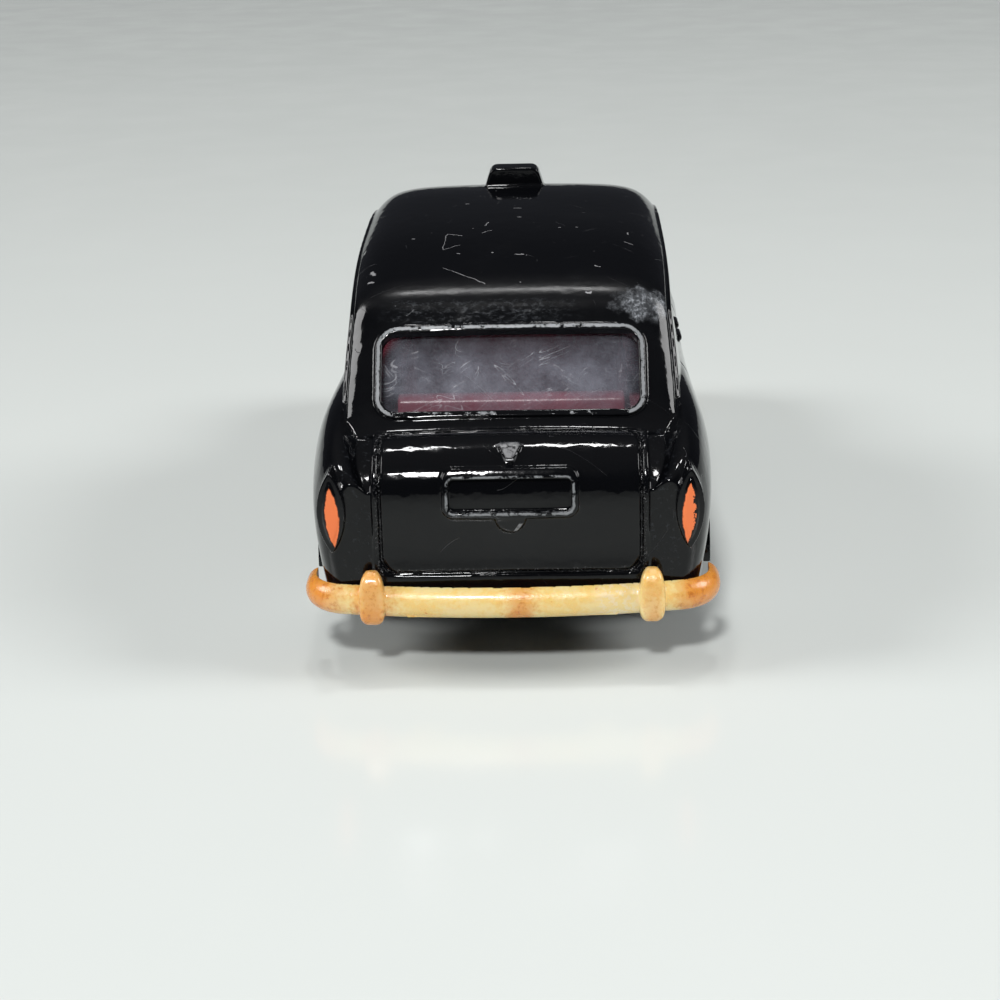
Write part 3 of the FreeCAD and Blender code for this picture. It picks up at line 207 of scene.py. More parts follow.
@dataclass(frozen=True)
class SoftenedCopy:
    """A moulded or cast piece: the CAD solid's own surface with the soft edges of casting and paint.

    The surface is sampled on an even grid, smoothed by a few rounds of means, and thinned where it is flat.
    """

    name: str
    node: str
    slot: str
    cell: float
    rounds: int
    triangles: int
    body: str = "taxi_body"
    join: float = 0.002

    def build(self, material: Material) -> None:
        """Makes the copy in its material, lets it ride on its body and stand for its CAD node."""
        piece = new_object(self.name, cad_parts[self.node].data.copy())
        piece.modifiers.new("weld", "WELD").merge_threshold = self.join * MM
        remesh = piece.modifiers.new("even_skin", "REMESH")
        remesh.mode = "VOXEL"
        remesh.voxel_size = self.cell * MM
        smooth = piece.modifiers.new("soft", "SMOOTH")
        smooth.factor = 0.5
        smooth.iterations = self.rounds
        settle(piece)
        piece.data.calc_loop_triangles()
        made = len(piece.data.loop_triangles)
        if made > self.triangles:
            piece.modifiers.new("thin", "DECIMATE").ratio = self.triangles / made
            settle(piece)
        piece.data.shade_smooth()
        mark_edges(piece)
        piece.data.materials.append(material)
        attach(piece, self.body)
        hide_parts(self.node)
        log.info("%s: %d of %d triangles", self.name, min(made, self.triangles), made)


# Node work

@dataclass(frozen=True)
class Grain:
    """Smooth noise of one kind: its spots to the millimetre, its finer layers and the strength of each."""

    scale: float
    layers: float = 3.0
    strength: float = 0.55
    warp: float = 0.0


@dataclass(frozen=True)
class Patches:
    """Soft-edged patches: noise, with the value where a patch starts and the one where it is full."""

    grain: Grain
    start: float
    full: float


class Net:
    """Short calls that add nodes to a material's or a group's tree."""

    def __init__(self, tree: NodeTree) -> None:
        """Keeps the tree that the nodes go into."""
        self.tree = tree

    def node(self, kind: str, **settings: object) -> Node:
        """Adds a node and sets its options."""
        made = self.tree.nodes.new(kind)
        for key, value in settings.items():
            setattr(made, key, value)
        return made

    def feed(self, socket: Socket, value: Optional[Input]) -> None:
        """Links a socket into another, or sets its value."""
        if value is None:
            return
        if isinstance(value, Socket):
            self.tree.links.new(value, socket)
        elif isinstance(value, tuple) and socket.type == "RGBA":
            socket.default_value = (*value, 1.0)
        else:
            socket.default_value = value

    def feed_all(self, node: Node, **values: Input) -> None:
        """Feeds a node's inputs by name, with _ for a space."""
        for key, value in values.items():
            self.feed(node.inputs[key.replace("_", " ")], value)

    def math(self, operation: str, a: Input, b: Optional[Input] = None) -> Socket:
        """A sum, product or other operation on numbers."""
        made = self.node("ShaderNodeMath", operation=operation)
        for socket, value in zip(made.inputs, (a, b)):
            self.feed(socket, value)
        return made.outputs[0]

    def chain(self, operation: str, values: Sequence[Input]) -> Input:
        """One operation on numbers from the first to the last."""
        made = values[0]
        for value in values[1:]:
            made = self.math(operation, made, value)
        return made

    def plus(self, *values: Input) -> Input:
        """The sum of several numbers."""
        return self.chain("ADD", values)

    def minus(self, a: Input, b: Input) -> Socket:
        """The first number less the second."""
        return self.math("SUBTRACT", a, b)

    def times(self, *values: Input) -> Input:
        """The product of several numbers."""
        return self.chain("MULTIPLY", values)

    def most(self, *values: Input) -> Input:
        """The largest of several numbers."""
        return self.chain("MAXIMUM", values)

    def least(self, *values: Input) -> Input:
        """The smallest of several numbers."""
        return self.chain("MINIMUM", values)

    def size(self, value: Input) -> Socket:
        """A number without its sign."""
        return self.math("ABSOLUTE", value)

    def vector(self, operation: str, a: Input, b: Optional[Input] = None,
               scale: Optional[Input] = None) -> Socket:
        """An operation on vectors; dot products and lengths give a number."""
        made = self.node("ShaderNodeVectorMath", operation=operation)
        for key, value in ((0, a), (1, b), ("Scale", scale)):
            if value is not None:
                self.feed(made.inputs[key], value)
        return made.outputs["Value" if operation in ("DOT_PRODUCT", "LENGTH") else "Vector"]

    def noise(self, place: Socket, grain: Grain, scale: Optional[Input] = None) -> Socket:
        """Smooth noise between 0 and 1 at a place, where wanted with a scale that comes from a socket."""
        made = self.node("ShaderNodeTexNoise")
        self.feed_all(made, Vector=place, Scale=grain.scale if scale is None else scale, Detail=grain.layers,
                      Roughness=grain.strength, Distortion=grain.warp)
        return made.outputs["Fac"]

    def ragged(self, place: Socket, grain: Grain, depth: float) -> Socket:
        """Noise about zero that roughens a rim, by its depth in millimetres."""
        return self.times(self.minus(self.noise(place, grain), 0.5), depth)

    def patches(self, place: Socket, patches: Patches) -> Socket:
        """A mask of soft-edged patches."""
        return self.step(self.noise(place, patches.grain), patches.start, patches.full)

    def shift(self, place: Socket, scale: float, reach: float) -> Socket:
        """Three independent noises as a vector about zero."""
        made = self.node("ShaderNodeTexNoise")
        self.feed_all(made, Vector=place, Scale=scale)
        centred = self.vector("SUBTRACT", made.outputs["Color"], (0.5, 0.5, 0.5))
        return self.vector("SCALE", centred, scale=reach)

    def cells(self, place: Socket, scale: Input) -> Node:
        """A cell pattern whose distance and colour outputs are read."""
        made = self.node("ShaderNodeTexVoronoi", feature="F1")
        self.feed_all(made, Vector=place, Scale=scale)
        return made

    def step(self, value: Input, start: Input, full: Input) -> Socket:
        """A smooth step from 0 at the start to 1 at the full value, which may be below the start."""
        made = self.node("ShaderNodeMapRange", interpolation_type="SMOOTHSTEP")
        self.feed_all(made, Value=value, From_Min=start, From_Max=full)
        return made.outputs["Result"]

    def span(self, value: Input, low: Input, high: Input) -> Socket:
        """Spreads 0 to 1 over low to high."""
        made = self.node("ShaderNodeMapRange")
        self.feed_all(made, Value=value, To_Min=low, To_Max=high)
        return made.outputs["Result"]

    def zone(self, place: Socket, *limits: Limit) -> Input:
        """A soft-edged stretch of the toy: the product of a smooth step for each limit.

        Args:
            place: The place on the object, in millimetres.
            limits: A measure of the place each, with where its step is 0 and where it is 1.

        Returns:
            A mask.
        """
        x, y, z = self.split(place)
        measures = {Axis.ASIDE: self.size(x), Axis.ALONG: y, Axis.UP: z}
        return self.times(*[self.step(measures[axis], start, full) for axis, start, full in limits])

    def near(self, value: Input, middle: float, half: Tuple[Input, Input]) -> Socket:
        """1 where a number is near the middle: 0 at the first distance from it and 1 at the second."""
        return self.step(self.size(self.minus(value, middle)), *half)

    def panel(self, x: Input, up: Input, half: Pair, corner: float) -> Socket:
        """Signed distance from a rectangle with round corners."""
        return self.group("panel_distance", Across=x, Up=up, Half_width=half[0], Half_height=half[1],
                          Corner=corner)

    def mix(self, share: Input, a: Input, b: Input) -> Socket:
        """A colour between a and b."""
        made = self.node("ShaderNodeMix", data_type="RGBA")
        self.feed(made.inputs[0], share)
        self.feed(made.inputs[6], a)
        self.feed(made.inputs[7], b)
        return made.outputs[2]

    def group(self, name: str, **values: Input) -> Socket:
        """Places a node group, feeds its inputs by name, with _ for a space, and gives its output."""
        made = self.node("ShaderNodeGroup", node_tree=bpy.data.node_groups[name])
        self.feed_all(made, **values)
        return made.outputs[0]

    def split(self, value: Socket) -> Tuple[Socket, Socket, Socket]:
        """The three parts of a vector."""
        made = self.node("ShaderNodeSeparateXYZ")
        self.feed(made.inputs[0], value)
        return made.outputs[0], made.outputs[1], made.outputs[2]

    def join(self, x: Input, y: Input, z: Input) -> Socket:
        """A vector from three numbers."""
        made = self.node("ShaderNodeCombineXYZ")
        for socket, value in zip(made.inputs, (x, y, z)):
            self.feed(socket, value)
        return made.outputs[0]

    def place(self) -> Socket:
        """The place on the object, in millimetres."""
        return self.vector("SCALE", self.node("ShaderNodeTexCoord").outputs["Object"], scale=1 / MM)

    def bend(self) -> Socket:
        """The attribute that marks ridges and grooves."""
        return self.node("ShaderNodeAttribute", attribute_name="bend").outputs["Fac"]

    def bump(self, height: Socket, distance: float) -> Socket:
        """A normal from a height, whose full step is the distance in millimetres."""
        made = self.node("ShaderNodeBump")
        self.feed_all(made, Strength=1.0, Distance=distance * MM, Height=height)
        return made.outputs["Normal"]


class EffectGroup:
    """A shader node group with named inputs and one output, built once."""

    name: str = ""
    inputs: Tuple[Tuple[str, Optional[float]], ...] = ()
    output: str = "Mask"

    def build(self) -> None:
        """Makes the group's sockets and its nodes; an input without a starting value is a vector."""
        tree = bpy.data.node_groups.new(self.name, "ShaderNodeTree")
        for label, start in self.inputs:
            kind = "NodeSocketVector" if start is None else "NodeSocketFloat"
            socket = tree.interface.new_socket(label, in_out="INPUT", socket_type=kind)
            if start is not None:
                socket.default_value = start
        tree.interface.new_socket(self.output, in_out="OUTPUT", socket_type="NodeSocketFloat")
        entry = tree.nodes.new("NodeGroupInput")
        leave = tree.nodes.new("NodeGroupOutput")
        net = Net(tree)
        net.feed(leave.inputs[0], self.shape(net, *[entry.outputs[label] for label, _ in self.inputs]))

    def shape(self, net: Net, *inputs: Socket) -> Socket:
        """Adds the group's own nodes and returns what it puts out."""
        raise NotImplementedError


class EdgeWear(EffectGroup):
    """Bare metal where the surface bends out by more than a limit that noise moves up and down."""

    name = "edge_wear"
    inputs = (("Place", None), ("Bend", 0.0), ("Limit", 1.2), ("Spread", 0.8), ("Scale", 0.6))
    coarse = Grain(0.6, 4.0, 0.6)
    fine = Grain(5.0, 3.0, 0.7)

    def shape(self, net: Net, place: Socket, bend: Socket, limit: Socket, spread: Socket,
              scale: Socket) -> Socket:
        """Step of the bend about the limit, which coarse noise plus fine noise, spread fourfold, moves."""
        both = net.plus(net.times(net.noise(place, self.coarse, scale), 0.7),
                        net.times(net.noise(place, self.fine), 0.3))
        start = net.plus(limit, net.times(net.minus(0.5, both), net.times(spread, 4.0)))
        return net.step(bend, start, net.plus(start, 0.25))


class Chips(EffectGroup):
    """Small spots of random size, in some cells of a cell pattern."""

    name = "chips"
    inputs = (("Place", None), ("Scale", 0.3), ("Size", 0.12), ("Share", 0.3))
    rim = Grain(6.0, 2.0)

    def shape(self, net: Net, place: Socket, scale: Socket, size: Socket, share: Socket) -> Socket:
        """A cell shows a spot where its random number is under the share; noise roughens the rim."""
        cell = net.cells(place, scale)
        tone, large, _ = net.split(cell.outputs["Color"])
        rim = net.times(net.noise(place, self.rim), 0.5)
        radius = net.times(size, net.plus(net.times(large, 0.8), rim))
        spot = net.step(cell.outputs["Distance"], radius, net.times(radius, 0.8))
        return net.times(spot, net.math("LESS_THAN", tone, share))


class Hairlines(EffectGroup):
    """Fine curved scratches: stretches of the level lines of warped noise."""

    name = "hairlines"
    inputs = (("Place", None), ("Scale", 0.3), ("Width", 0.006), ("Share", 0.45))
    lines = Grain(0.3, 1.0, 0.4, 0.8)
    stretches = Grain(0.5, 2.0)
    turns_and_lengths = ((0.6, 3.5), (-0.9, 2.5))

    def shape(self, net: Net, place: Socket, scale: Socket, width: Socket, share: Socket) -> Socket:
        """Lines of two families, where |noise - 1/2| is under the width and slow noise is under the share."""
        families = []
        for turn, length in self.turns_and_lengths:
            along = net.vector("DOT_PRODUCT", place, (math.cos(turn), math.sin(turn), 0.35))
            across = net.vector("DOT_PRODUCT", place, (-math.sin(turn), math.cos(turn), 0.6))
            spot = net.join(net.math("DIVIDE", along, length), across, turn * 10)
            line = net.near(net.noise(spot, self.lines, scale), 0.5, (width, net.times(width, 0.3)))
            keep = net.step(net.noise(spot, self.stretches), share, net.minus(share, 0.05))
            families.append(net.times(line, keep))
        return net.most(*families)


class Panel(EffectGroup):
    """Signed distance from a rectangle with round corners: that from the shrunk one, less the corner."""

    name = "panel_distance"
    output = "Distance"
    inputs = (("Across", 0.0), ("Up", 0.0), ("Half width", 1.0), ("Half height", 1.0), ("Corner", 0.1))

    def shape(self, net: Net, across: Socket, up: Socket, width: Socket, height: Socket,
              corner: Socket) -> Socket:
        """Works out q = |p| - half + corner, then |max(q, 0)| + min(max(q), 0) - corner."""
        parts = [net.plus(net.minus(net.size(value), half), corner)
                 for value, half in ((across, width), (up, height))]
        outside = net.vector("LENGTH", net.join(*[net.most(part, 0.0) for part in parts], 0.0))
        return net.minus(net.plus(outside, net.least(net.most(*parts), 0.0)), corner)


class Stroke(EffectGroup):
    """A scratch from one place to another in plan, thinner at its ends and broken by noise."""

    name = "stroke"
    inputs = (("Place", None), ("Start", None), ("End", None), ("Width", 0.08))
    rim = Grain(3.0, 2.0)

    def shape(self, net: Net, place: Socket, start: Socket, end: Socket, width: Socket) -> Socket:
        """Distance from the segment; its nearest point is at (p - a).(b - a) / |b - a|^2 kept in 0 to 1."""
        shaken = net.vector("ADD", place, net.shift(place, 1.2, 0.5))
        spot, start, end = [net.vector("MULTIPLY", value, (1.0, 1.0, 0.0)) for value in (shaken, start, end)]
        run = net.vector("SUBTRACT", end, start)
        reach = net.vector("SUBTRACT", spot, start)
        share = net.math("DIVIDE", net.vector("DOT_PRODUCT", reach, run), net.vector("DOT_PRODUCT", run, run))
        nearest = net.vector("SCALE", run, scale=net.least(net.most(share, 0.0), 1.0))
        far = net.vector("LENGTH", net.vector("SUBTRACT", reach, nearest))
        half = net.times(width, net.times(net.noise(place, self.rim), 1.6))
        return net.step(far, half, net.times(half, 0.5))


EFFECTS: Tuple[EffectGroup, ...] = (EdgeWear(), Chips(), Hairlines(), Panel(), Stroke())


class Look:
    """A material; each kind of it says what the main shader's inputs get."""

    name: str

    def build(self) -> Material:
        """Makes the material and its main shader."""
        material = bpy.data.materials.new(self.name)
        material.use_nodes = True
        material.node_tree.nodes.clear()
        net = Net(material.node_tree)
        shader = net.node("ShaderNodeBsdfPrincipled")
        net.feed(net.node("ShaderNodeOutputMaterial").inputs["Surface"], shader.outputs[0])
        net.feed_all(shader, **self.surface(net, net.place()))
        return material

    def surface(self, net: Net, place: Socket) -> Inputs:
        """The shader's inputs by name, with _ for a space."""
        raise NotImplementedError


# The casting's paint and its wear

@dataclass(frozen=True)
class WindowSilver:
    """A narrow band of silver round the rear window, worn through in places and mostly gone below."""

    middle: Point = (0.0, -39.5, 28.55)
    upwards: Point = (0.0, 0.6147, 0.7888)
    half: Pair = (14.1, 5.23)
    corner: float = 2.4
    band: Pair = (0.19, 0.53)
    soft: float = 0.06
    rim: Grain = Grain(2.6, 4.0, 0.7)
    rim_depth: float = 0.35
    kept: Patches = Patches(Grain(0.6, 5.0, 0.7), 0.64, 0.58)
    foot: Pair = (-3.4, -4.6)
    foot_aside: Pair = (13.0, 11.5)
    foot_wear: float = 0.2
    top: Pair = (3.6, 4.4)
    top_wear: float = 0.045
    rear: Limit = (Axis.ALONG, -34.0, -35.0)

    def mask(self, net: Net, place: Socket) -> Input:
        """The band lies between two distances inside the surround's outline."""
        reach = net.vector("SUBTRACT", place, self.middle)
        across, _, _ = net.split(reach)
        up = net.vector("DOT_PRODUCT", reach, self.upwards)
        outline = net.panel(across, up, self.half, self.corner)
        far = net.plus(outline, net.ragged(place, self.rim, self.rim_depth))
        near, wide = self.band
        band = net.times(net.step(far, self.soft - near, -self.soft - near),
                         net.step(far, -self.soft - wide, self.soft - wide), net.zone(place, self.rear))
        low = net.times(net.step(up, *self.foot), net.step(net.size(across), *self.foot_aside))
        wear = net.plus(net.noise(place, self.kept.grain), net.times(low, self.foot_wear),
                        net.times(net.step(up, *self.top), self.top_wear))
        return net.times(band, net.step(wear, self.kept.start, self.kept.full))


@dataclass(frozen=True)
class LampPaint:
    """Orange in a pointed oval on each tail lamp, leaning in a little, chipped at the right lamp's rim."""

    aside: float = 17.85
    up: float = 17.05
    width: float = 1.2
    height: float = 6.0
    lean: float = 0.05
    soft: float = 0.12
    rim: Grain = Grain(1.6)
    rim_depth: float = 0.3
    chipped_from: Pair = (17.9, 18.6)
    chips: Patches = Patches(Grain(1.1, 4.0, 0.7), 0.45, 0.6)
    chip_depth: float = 0.7
    rear: Limit = (Axis.ALONG, -49.0, -50.0)

    def mask(self, net: Net, place: Socket) -> Input:
        """Inside both arcs of the oval, whose circles pass through its two points."""
        half, tall = self.width / 2, self.height / 2
        radius = (half * half + tall * tall) / (2 * half)
        x, _, z = net.split(place)
        rise = net.minus(z, self.up)
        aside = net.minus(net.minus(net.size(x), self.aside), net.times(rise, self.lean))
        from_centre = net.join(net.plus(net.size(aside), radius - half), rise, 0.0)
        chipped = net.times(net.step(x, *self.chipped_from), net.patches(place, self.chips), self.chip_depth)
        far = net.plus(net.vector("LENGTH", from_centre), net.ragged(place, self.rim, self.rim_depth),
                       chipped)
        return net.times(net.step(far, radius + self.soft, radius), net.zone(place, self.rear))


@dataclass(frozen=True)
class LidWear:
    """Fine grey flecks along the boot lid's two sides, its foot and its top."""

    side: float = 13.3
    foot: float = 11.0
    top: float = -44.9
    below_top: Pair = (23.5, 22.5)
    near_side: Pair = (0.5, 0.15)
    near_end: Pair = (0.4, 0.1)
    lid: Limit = (Axis.ASIDE, 13.9, 13.5)
    rear: Limit = (Axis.ALONG, -43.8, -44.6)
    flecks: Patches = Patches(Grain(4.5, 4.0, 0.75), 0.55, 0.66)
    density: Grain = Grain(0.4)
    density_span: Pair = (-0.2, 1.6)

    def mask(self, net: Net, place: Socket) -> Input:
        """Flecks near each line, more of them where slow noise is high."""
        x, y, z = net.split(place)
        side = net.near(net.size(x), self.side, self.near_side)
        top = net.plus(net.size(net.minus(y, self.top)), net.step(z, *self.below_top))
        ends = net.most(net.near(z, self.foot, self.near_end), net.step(top, *self.near_end))
        beside = net.most(side, net.times(ends, net.zone(place, self.lid)))
        density = net.span(net.noise(place, self.density), *self.density_span)
        return net.times(beside, net.zone(place, self.rear), net.patches(place, self.flecks),
                         net.least(net.most(density, 0.0), 1.0))


@dataclass(frozen=True)
class PlateWear:
    """Silver-grey wear on the inner rim of the number plate's frame, broken by noise."""

    middle: float = 19.0
    half: Pair = (6.2, 1.7)
    corner: float = 0.7
    rim: Grain = Grain(2.5, 4.0, 0.7)
    rim_depth: float = 0.3
    inner: Pair = (-0.04, 0.08)
    outer: Pair = (0.34, 0.20)
    kept: Patches = Patches(Grain(0.9, 4.0, 0.7), 0.40, 0.52)
    rear: Limit = (Axis.ALONG, -50.3, -50.6)

    def mask(self, net: Net, place: Socket) -> Input:
        """A ring about the recess's outline."""
        x, _, z = net.split(place)
        outline = net.panel(x, net.minus(z, self.middle), self.half, self.corner)
        far = net.plus(outline, net.ragged(place, self.rim, self.rim_depth))
        return net.times(net.step(far, *self.inner), net.step(far, *self.outer),
                         net.patches(place, self.kept), net.zone(place, self.rear))


@dataclass(frozen=True)
class HandleWear:
    """Grey wear on the boot's handle and on one side of the lock below the number plate."""

    grip_start: float = -49.0
    grip_taper: float = 0.55
    grip_half: Pair = (1.5, 1.3)
    grip_front: Pair = (-0.1, 0.1)
    grip_back: Pair = (2.0, 1.8)
    grip_up: Limit = (Axis.UP, 22.0, 22.4)
    lock: Pair = (0.75, 15.7)
    lock_slant: float = 0.7
    lock_width: Pair = (0.24, 0.12)
    lock_height: Pair = (0.55, 0.3)
    lock_rear: Limit = (Axis.ALONG, -50.5, -51.0)
    kept: Patches = Patches(Grain(1.6, 5.0, 0.75), 0.36, 0.56)

    def mask(self, net: Net, place: Socket) -> Input:
        """The handle narrows to the rear; the lock has one slanting fleck."""
        x, y, z = net.split(place)
        behind = net.minus(self.grip_start, y)
        aside = net.plus(net.size(x), net.times(behind, self.grip_taper))
        grip = net.times(net.step(aside, *self.grip_half), net.step(behind, *self.grip_front),
                         net.step(behind, *self.grip_back), net.zone(place, self.grip_up))
        rise = net.minus(z, self.lock[1])
        slant = net.minus(x, net.times(rise, self.lock_slant))
        lock = net.times(net.near(slant, self.lock[0], self.lock_width),
                         net.near(rise, 0.0, self.lock_height), net.zone(place, self.lock_rear))
        return net.times(net.most(grip, lock), net.patches(place, self.kept))


@dataclass(frozen=True)
class RoofMarks:
    """Single marks on the roof, and a scatter of fine specks, most of them about its middle line.

    A mark is a scratch or a chip, by X and Y of its middle line's two ends and its half width.
    """

    marks: Tuple[Tuple[float, ...], ...] = (
        (-5.45, -7.1, -5.15, -7.1, 0.20), (0.2, -9.8, 1.0, -9.9, 0.09), (0.7, -14.1, 0.95, -14.1, 0.14),
        (0.6, -26.2, 1.5, -26.4, 0.13), (-14.9, -27.9, -14.6, -28.8, 0.30),
        (-15.1, -30.3, -14.6, -30.6, 0.22), (-5.3, -20.8, -7.1, -20.0, 0.045),
        (-7.1, -20.0, -7.4, -24.6, 0.045), (-7.4, -24.6, -5.5, -23.5, 0.045),
        (-7.2, -29.1, -2.6, -32.8, 0.05), (-3.0, -17.5, -2.6, -16.2, 0.09), (-3.2, -20.0, -2.2, -19.2, 0.06),
        (-10.9, -21.0, -10.6, -21.1, 0.10), (5.3, -18.5, 5.5, -18.5, 0.09), (7.2, -18.3, 7.4, -18.4, 0.09),
        (12.9, -19.5, 13.0, -20.0, 0.10), (12.4, -22.6, 13.3, -23.0, 0.07), (9.1, -29.0, 9.6, -29.3, 0.12),
        (-5.8, -25.8, -5.5, -25.9, 0.10), (8.0, -34.0, 8.6, -34.0, 0.12), (-1.2, 3.6, 0.6, 3.8, 0.05),
    )
    scatter_middle: float = -1.5
    scatter_half: Pair = (7.0, 1.0)
    scatter_least: float = 0.12
    scatter: Patches = Patches(Grain(0.35), 0.48, 0.6)
    roof: Limits = ((Axis.UP, 33.0, 34.0), (Axis.ALONG, 12.0, 9.0))

    def mask(self, net: Net, place: Socket) -> Input:
        """The strongest of the strokes and specks at each place."""
        strokes = [net.group("stroke", Place=place, Start=(x0, y0, 0.0), End=(x1, y1, 0.0), Width=width)
                   for x0, y0, x1, y1, width in self.marks]
        x, _, _ = net.split(place)
        specks = net.group("chips", Place=place, Scale=0.9, Size=0.13, Share=0.30)
        middle = net.near(x, self.scatter_middle, self.scatter_half)
        thick = net.plus(net.times(middle, 0.9), self.scatter_least)
        specks = net.times(specks, thick, net.patches(place, self.scatter))
        return net.times(net.most(*strokes, specks), net.zone(place, *self.roof))


@dataclass(frozen=True)
class RoofCorner:
    """A mottled patch where the roof's right rear corner is rubbed, reaching inwards along the roof's end."""

    middle: Point = (14.1, -34.4, 34.3)
    squeeze: Point = (0.62, 0.75, 1.0)
    warp: Pair = (0.7, 3.0)
    reach: Pair = (2.3, 0.9)
    fine: Patches = Patches(Grain(2.6, 6.0, 0.8), 0.40, 0.66)
    slow: Patches = Patches(Grain(0.9, 4.0, 0.7), 0.36, 0.62)
    least: float = 0.12

    def mask(self, net: Net, place: Socket) -> Input:
        """Fine patches inside slow ones, within a warped distance of the middle."""
        away = net.vector("MULTIPLY", net.vector("SUBTRACT", place, self.middle), self.squeeze)
        far = net.vector("LENGTH", net.vector("ADD", away, net.shift(place, *self.warp)))
        mottle = net.times(net.patches(place, self.fine), net.patches(place, self.slow))
        return net.times(net.step(far, *self.reach), net.plus(mottle, self.least))


@dataclass(frozen=True)
class DustFilm:
    """A dusty film between the roof's end and the rear window, and thin traces beside the boot."""

    above: Limits = ((Axis.UP, 32.3, 33.2), (Axis.UP, 35.3, 34.6), (Axis.ALONG, -33.0, -34.0))
    above_middle: float = -3.0
    above_half: Pair = (12.0, 6.0)
    stretch: Point = (0.6, 1.0, 1.3)
    streaks: Patches = Patches(Grain(1.9, 7.0, 0.8), 0.46, 0.74)
    above_share: float = 0.7
    beside: Limits = ((Axis.ASIDE, 13.6, 14.2), (Axis.ASIDE, 17.6, 16.4), (Axis.ALONG, -43.2, -44.0))
    traces: Patches = Patches(Grain(1.8, 5.0, 0.75), 0.56, 0.70)
    beside_share: float = 0.5

    def mask(self, net: Net, place: Socket) -> Input:
        """Streaks of noise stretched across the toy above the window, and small patches beside the boot."""
        x, _, _ = net.split(place)
        middle = net.near(x, self.above_middle, self.above_half)
        streaks = net.patches(net.vector("MULTIPLY", place, self.stretch), self.streaks)
        above = net.times(net.zone(place, *self.above), middle, streaks, self.above_share)
        beside = net.times(net.zone(place, *self.beside), net.patches(place, self.traces), self.beside_share)
        return net.most(above, beside)


@dataclass(frozen=True)
class CastPaint(Look):
    """Gloss black over zinc, with silver trim paint, orange lamp paint, chips, scratches, worn edges, and a
    painted highlight of extra bare zinc along the gutters at the C-pillars.
    """

    name: str = "cast_paint"
    black: Colour = (0.0022, 0.0024, 0.0031)
    zinc: Colour = (0.36, 0.36, 0.37)
    silver: Colour = (0.25, 0.26, 0.27)
    orange: Colour = (0.93, 0.22, 0.07)
    film: Colour = (0.22, 0.25, 0.29)
    dust: Colour = (0.3, 0.31, 0.33)
    scratch: Colour = (0.30, 0.30, 0.32)
    rubbed: Colour = (0.36, 0.38, 0.41)
    dusty: Patches = Patches(Grain(0.12, 5.0, 0.6), 0.5, 0.8)
    gutter_wear_and_highlight: Limits = ((Axis.ASIDE, 14.4, 15.0), (Axis.ALONG, -27.0, -33.0), (Axis.UP, 23.5, 25.0))
    roof_end: Limits = ((Axis.ALONG, -30.2, -32.0), (Axis.UP, 33.6, 34.8))
    edge_limit: float = 3.2
    gutter_wear_and_highlight_strength: float = 1.3
    gloss: Grain = Grain(0.5)
    gloss_span: Pair = (0.05, 0.09)
    peel: Grain = Grain(0.8, 2.0, 0.5)
    depth: float = 0.02
    specular: float = 0.32

    def surface(self, net: Net, place: Socket) -> Inputs:
        """The wear and paint over the black, from the lowest layer to the highest."""
        wear = (WindowSilver(), LampPaint(), LidWear(), PlateWear(), RoofMarks(), RoofCorner(),
                HandleWear(), DustFilm())
        silver, orange, flecks, ring, marks, rubbed, handle, film = [part.mask(net, place) for part in wear]
        # Along the gutters at the C-pillars the wear limit drops, so more bare zinc shows there. The edge
        # wear below therefore also carries a painted highlight along the bead, as well as wear.
        limit = net.minus(self.edge_limit, net.times(net.zone(place, *self.gutter_wear_and_highlight), self.gutter_wear_and_highlight_strength))
        worn = net.group("edge_wear", Place=place, Bend=net.bend(), Limit=limit, Spread=1.3, Scale=0.35)
        chips = net.group("chips", Place=place, Scale=0.16, Size=0.035, Share=0.3)
        lines = net.group("hairlines", Place=place, Scale=0.22, Width=0.003, Share=0.40)
        bare = net.most(net.times(worn, 0.8), net.times(chips, 0.8), marks)
        dust = net.patches(place, self.dusty)
        layers = ((dust, 0.006, self.dust), (film, 0.17, self.film), (rubbed, 0.85, self.rubbed),
                  (flecks, 0.48, self.zinc), (lines, 0.12, self.scratch), (handle, 0.6, self.zinc),
                  (ring, 0.85, self.silver), (silver, 1.0, self.silver), (orange, 1.0, self.orange),
                  (bare, 1.0, self.zinc))
        tone: Input = self.black
        for mask, share, colour in layers:
            tone = net.mix(net.times(mask, share), tone, colour)
        dull = net.most(film, rubbed)
        trim = net.most(silver, orange, ring, flecks, handle)
        rough = net.span(net.noise(place, self.gloss), *self.gloss_span)
        for mask, share in ((dust, 0.05), (dull, 0.25), (net.zone(place, *self.roof_end), 0.18), (trim, 0.30),
                            (bare, 0.35)):
            rough = net.plus(rough, net.times(mask, share))
        metal = net.plus(net.times(bare, 0.4), net.times(silver, 0.15))
        height = net.minus(net.noise(place, self.peel), net.most(bare, lines, silver))
        return dict(Base_Color=tone, Roughness=rough, Metallic=net.least(metal, 1.0),
                    Specular_IOR_Level=self.specular, Normal=net.bump(height, self.depth))


@dataclass(frozen=True)
class Spot:
    """A patch on the bumper, by its place across the toy, its reach and its strength."""

    middle: float
    reach: float
    strength: float


